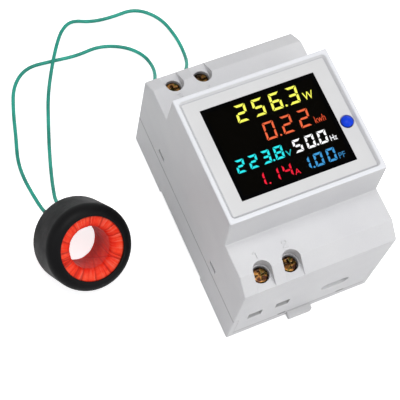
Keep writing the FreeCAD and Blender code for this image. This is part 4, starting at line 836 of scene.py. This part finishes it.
def add_unit(name, word, place, height, width, colour, thinner):
    """A unit's letters, set to a cap height and squeezed or stretched to a width."""
    text = bpy.data.curves.new(name, "FONT")
    text.body = word
    text.extrude = DIGIT_THICK / 2 * MM
    text.offset = -thinner
    text.resolution_u = LETTER_SMOOTHNESS
    text.materials.append(lit_look(name, colour).material)
    letters = bpy.data.objects.new(name, text)
    add_to_scene(letters)
    bpy.context.view_layer.update()
    size = letters.dimensions
    text.shear = DIGIT_SLANT
    letters.location = mm((place[0], place[1], figures_z() + DIGIT_THICK / 2))
    letters.scale = (width * MM / size.x, height * MM / size.y, 1.0)
    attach(letters, "meter")


# Red wrapping in the ring

def ring_matrix():
    """The ring's own axes: towards its raised side, across it, and along its bore."""
    tilt = math.radians(RING_TILT)
    heading = math.radians(RING_HEADING)
    axis = Vector((math.sin(tilt) * math.sin(heading), -math.sin(tilt) * math.cos(heading), math.cos(tilt)))
    raised = (Vector((0, 0, 1)) - axis * axis.z).normalized()
    return axes_matrix(raised, axis.cross(raised), axis, [value * MM for value in RING_CENTRE])


def lining_profile(gap):
    """Points (radius, z) along the lining, from its back lip to its front lip, a gap behind its face."""
    size = LINING_ROUNDING - gap
    middle = BORE_RADIUS + LINING_ROUNDING
    turns = [math.pi / 2 * i / LINING_ARC_STEPS for i in range(LINING_ARC_STEPS + 1)]
    arc = [(middle - size * math.cos(turn), BORE_HALF + size * math.sin(turn)) for turn in turns]
    start_z = BORE_HALF + size
    rise = LINING_LIP_Z - gap - start_z
    run = LINING_LIP_RADIUS - middle
    flare = [(middle + run * i / LINING_FLARE_STEPS, start_z + rise * i / LINING_FLARE_STEPS)
             for i in range(1, LINING_FLARE_STEPS + 1)]
    front = arc + flare
    back = [(radius, -z) for radius, z in front[::-1]]
    bore = [(BORE_RADIUS + gap, -BORE_HALF + 2 * BORE_HALF * i / LINING_BORE_STEPS)
            for i in range(1, LINING_BORE_STEPS)]
    return back + bore + front


def deal_wraps():
    """Each turn of tape and each crease: where it starts, its width and lean, and how high it stands."""
    dice = random.Random(WRAP_SEED)
    starts = [math.tau * (i + dice.uniform(-WRAP_JITTER, WRAP_JITTER)) / WRAP_COUNT
              for i in range(WRAP_COUNT)]
    wraps = [(start, dice.uniform(*WRAP_WIDTHS), dice.uniform(*WRAP_LEANS), dice.uniform(*WRAP_LIFTS))
             for start in starts]
    creases = [(dice.uniform(0, math.tau), dice.uniform(*CREASE_LEANS), dice.uniform(*CREASE_WIDTHS),
                dice.choice((-1, 1)) * dice.uniform(*CREASE_DEPTHS)) for _ in range(CREASE_COUNT)]
    return wraps, creases


def wrapping_height(turn, along, wraps, creases):
    """How far the wrapping stands towards the bore, and how far a point is from the nearest fold, up to 1."""
    height = sum(size * math.sin(count * turn + start + lean * along)
                 for size, count, start, lean in WRAP_WAVES)
    fold = 1.0
    for start, width, lean, lift in wraps:
        offset = (turn + lean * along - start) % math.tau
        if offset < width:
            height += lift * (1 - offset / width) * min(1.0, offset / WRAP_EDGE)
            fold = min(fold, offset / WRAP_SHADE)
    for start, lean, width, depth in creases:
        offset = (turn + lean * along - start + math.pi) % math.tau - math.pi
        height += depth * math.exp(-abs(offset) / width)
        if depth < 0:
            fold = min(fold, abs(offset) / CREASE_SHADE)
    return height, fold


def add_wrapping():
    """The lining as overlapping turns of tape, whose edges and creases fan out over the flare."""
    wraps, creases = deal_wraps()
    face = lining_profile(0.0)
    behind = lining_profile(LINING_THICK)
    mesh_data = bmesh.new()
    folds = mesh_data.verts.layers.float.new("fold")
    depths = mesh_data.verts.layers.float.new("depth")
    sweeps = mesh_data.verts.layers.float_vector.new("sweep")
    place = ring_matrix()
    columns = []
    for i in range(WRAP_STEPS):
        turn = math.tau * i / WRAP_STEPS
        column = []
        for radius, z in face:
            along = z / LINING_LIP_Z
            height, fold = wrapping_height(turn, along, wraps, creases)
            # 0 at the lips and, once rounded, exactly 1 down the bore, where the tape lies flatter
            deep = round((LINING_LIP_RADIUS - radius) / (LINING_LIP_RADIUS - BORE_RADIUS), 6)
            inner = radius - height * (1 - abs(along) ** LIP_FLATNESS) * (1 - BORE_FLATNESS * deep)
            vert = mesh_data.verts.new(place @ mm((inner * math.cos(turn), inner * math.sin(turn), z)))
            vert[folds] = fold
            # The bore's back half gets the darkest painted shade
            from_darkest = (z + BORE_HALF / 2) / BORE_HALF * BORE_SHADE_SHARPNESS
            vert[depths] = deep + (math.exp(-from_darkest ** 2) if deep >= 1 else 0.0)
            swept = turn + STREAK_LEAN * along
            vert[sweeps] = mm((STREAK_RADIUS * math.cos(swept), STREAK_RADIUS * math.sin(swept),
                               STREAK_REACH * along))
            column.append(vert)
        for radius, z in behind[::-1]:
            vert = mesh_data.verts.new(place @ mm((radius * math.cos(turn), radius * math.sin(turn), z)))
            vert[folds] = 1.0
            column.append(vert)
        columns.append(column)
    for i, here in enumerate(columns):
        after = columns[(i + 1) % WRAP_STEPS]
        for j in range(len(here)):
            k = (j + 1) % len(here)
            mesh_data.faces.new((here[j], after[j], after[k], here[k]))
    for each in mesh_data.faces:
        each.smooth = True
    bmesh.ops.recalc_face_normals(mesh_data, faces=mesh_data.faces)
    wrapping = add_mesh("red_wrapping", mesh_data, LOOKS["tape_red"].material)
    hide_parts("ct_tape")


# Floor, lamps and background

def add_floor():
    mesh = bpy.data.meshes.new("floor")
    floor_z = CAD_BOUNDS[0][2] - FLOOR_DROP * MM
    corners = [(-1, -1), (1, -1), (1, 1), (-1, 1)]
    mesh.from_pydata([(x * FLOOR_REACH, y * FLOOR_REACH, floor_z) for x, y in corners], [], [(0, 1, 2, 3)])
    look = Look("pale_floor")
    cloud = look.noise(90.0, 2.0, 0.5)
    body = look.tones(cloud, (0.80, 0.80, 0.81, 1.0), (0.83, 0.83, 0.835, 1.0))
    straight, shown = look.seen_rays()
    glow = look.math("ADD", look.math("MULTIPLY", shown, FLOOR_SHOWN_GLOW),
                     look.math("MULTIPLY", straight, FLOOR_CAMERA_GLOW))
    look.set(Base_Color=body, Roughness=0.9, Specular_IOR_Level=0.1,
             Emission_Color=look.tones(cloud, (0.99, 0.99, 1.0, 1.0), WHITE), Emission_Strength=glow)
    mesh.materials.append(look.material)
    floor = bpy.data.objects.new("floor", mesh)
    add_to_scene(floor)


def add_lamp(name, place, width, watts, colour):
    data = bpy.data.lights.new(name, "AREA")
    data.shape = "DISK"
    data.size = width
    data.energy = watts
    data.color = colour
    lamp = bpy.data.objects.new(name, data)
    lamp.location = place
    lamp.rotation_euler = (Vector(LAMP_AIM) - Vector(place)).to_track_quat("-Z", "Y").to_euler()
    add_to_scene(lamp)


def add_world():
    world = bpy.data.worlds.new("studio")
    bpy.context.scene.world = world
    world.use_nodes = True
    nodes = Nodes(world.node_tree)
    _, shown = nodes.seen_rays()
    background = world.node_tree.nodes["Background"]
    background.inputs["Color"].default_value = WHITE
    nodes.link(nodes.span(shown, WORLD_LIGHT, WORLD_SHOWN, 0.0, 1.0), background.inputs["Strength"])


# The whole scene

add_camera()
for entry in frame["record"]["subparts"]:
    dress(NODES[entry["node"]], entry["material_slot"])
add_lead("green_lead_a", "ct_lead_a", LEAD_A)
add_lead("green_lead_b", "ct_lead_b", LEAD_B)
add_clip_coil()
for reading in READINGS:
    add_readings(*reading)
for unit in UNITS:
    add_unit(*unit)
add_wrapping()
add_floor()
for lamp in LAMPS:
    add_lamp(*lamp)
add_world()
bpy.context.scene.view_settings.view_transform = "Standard"

bpy.context.view_layer.update()
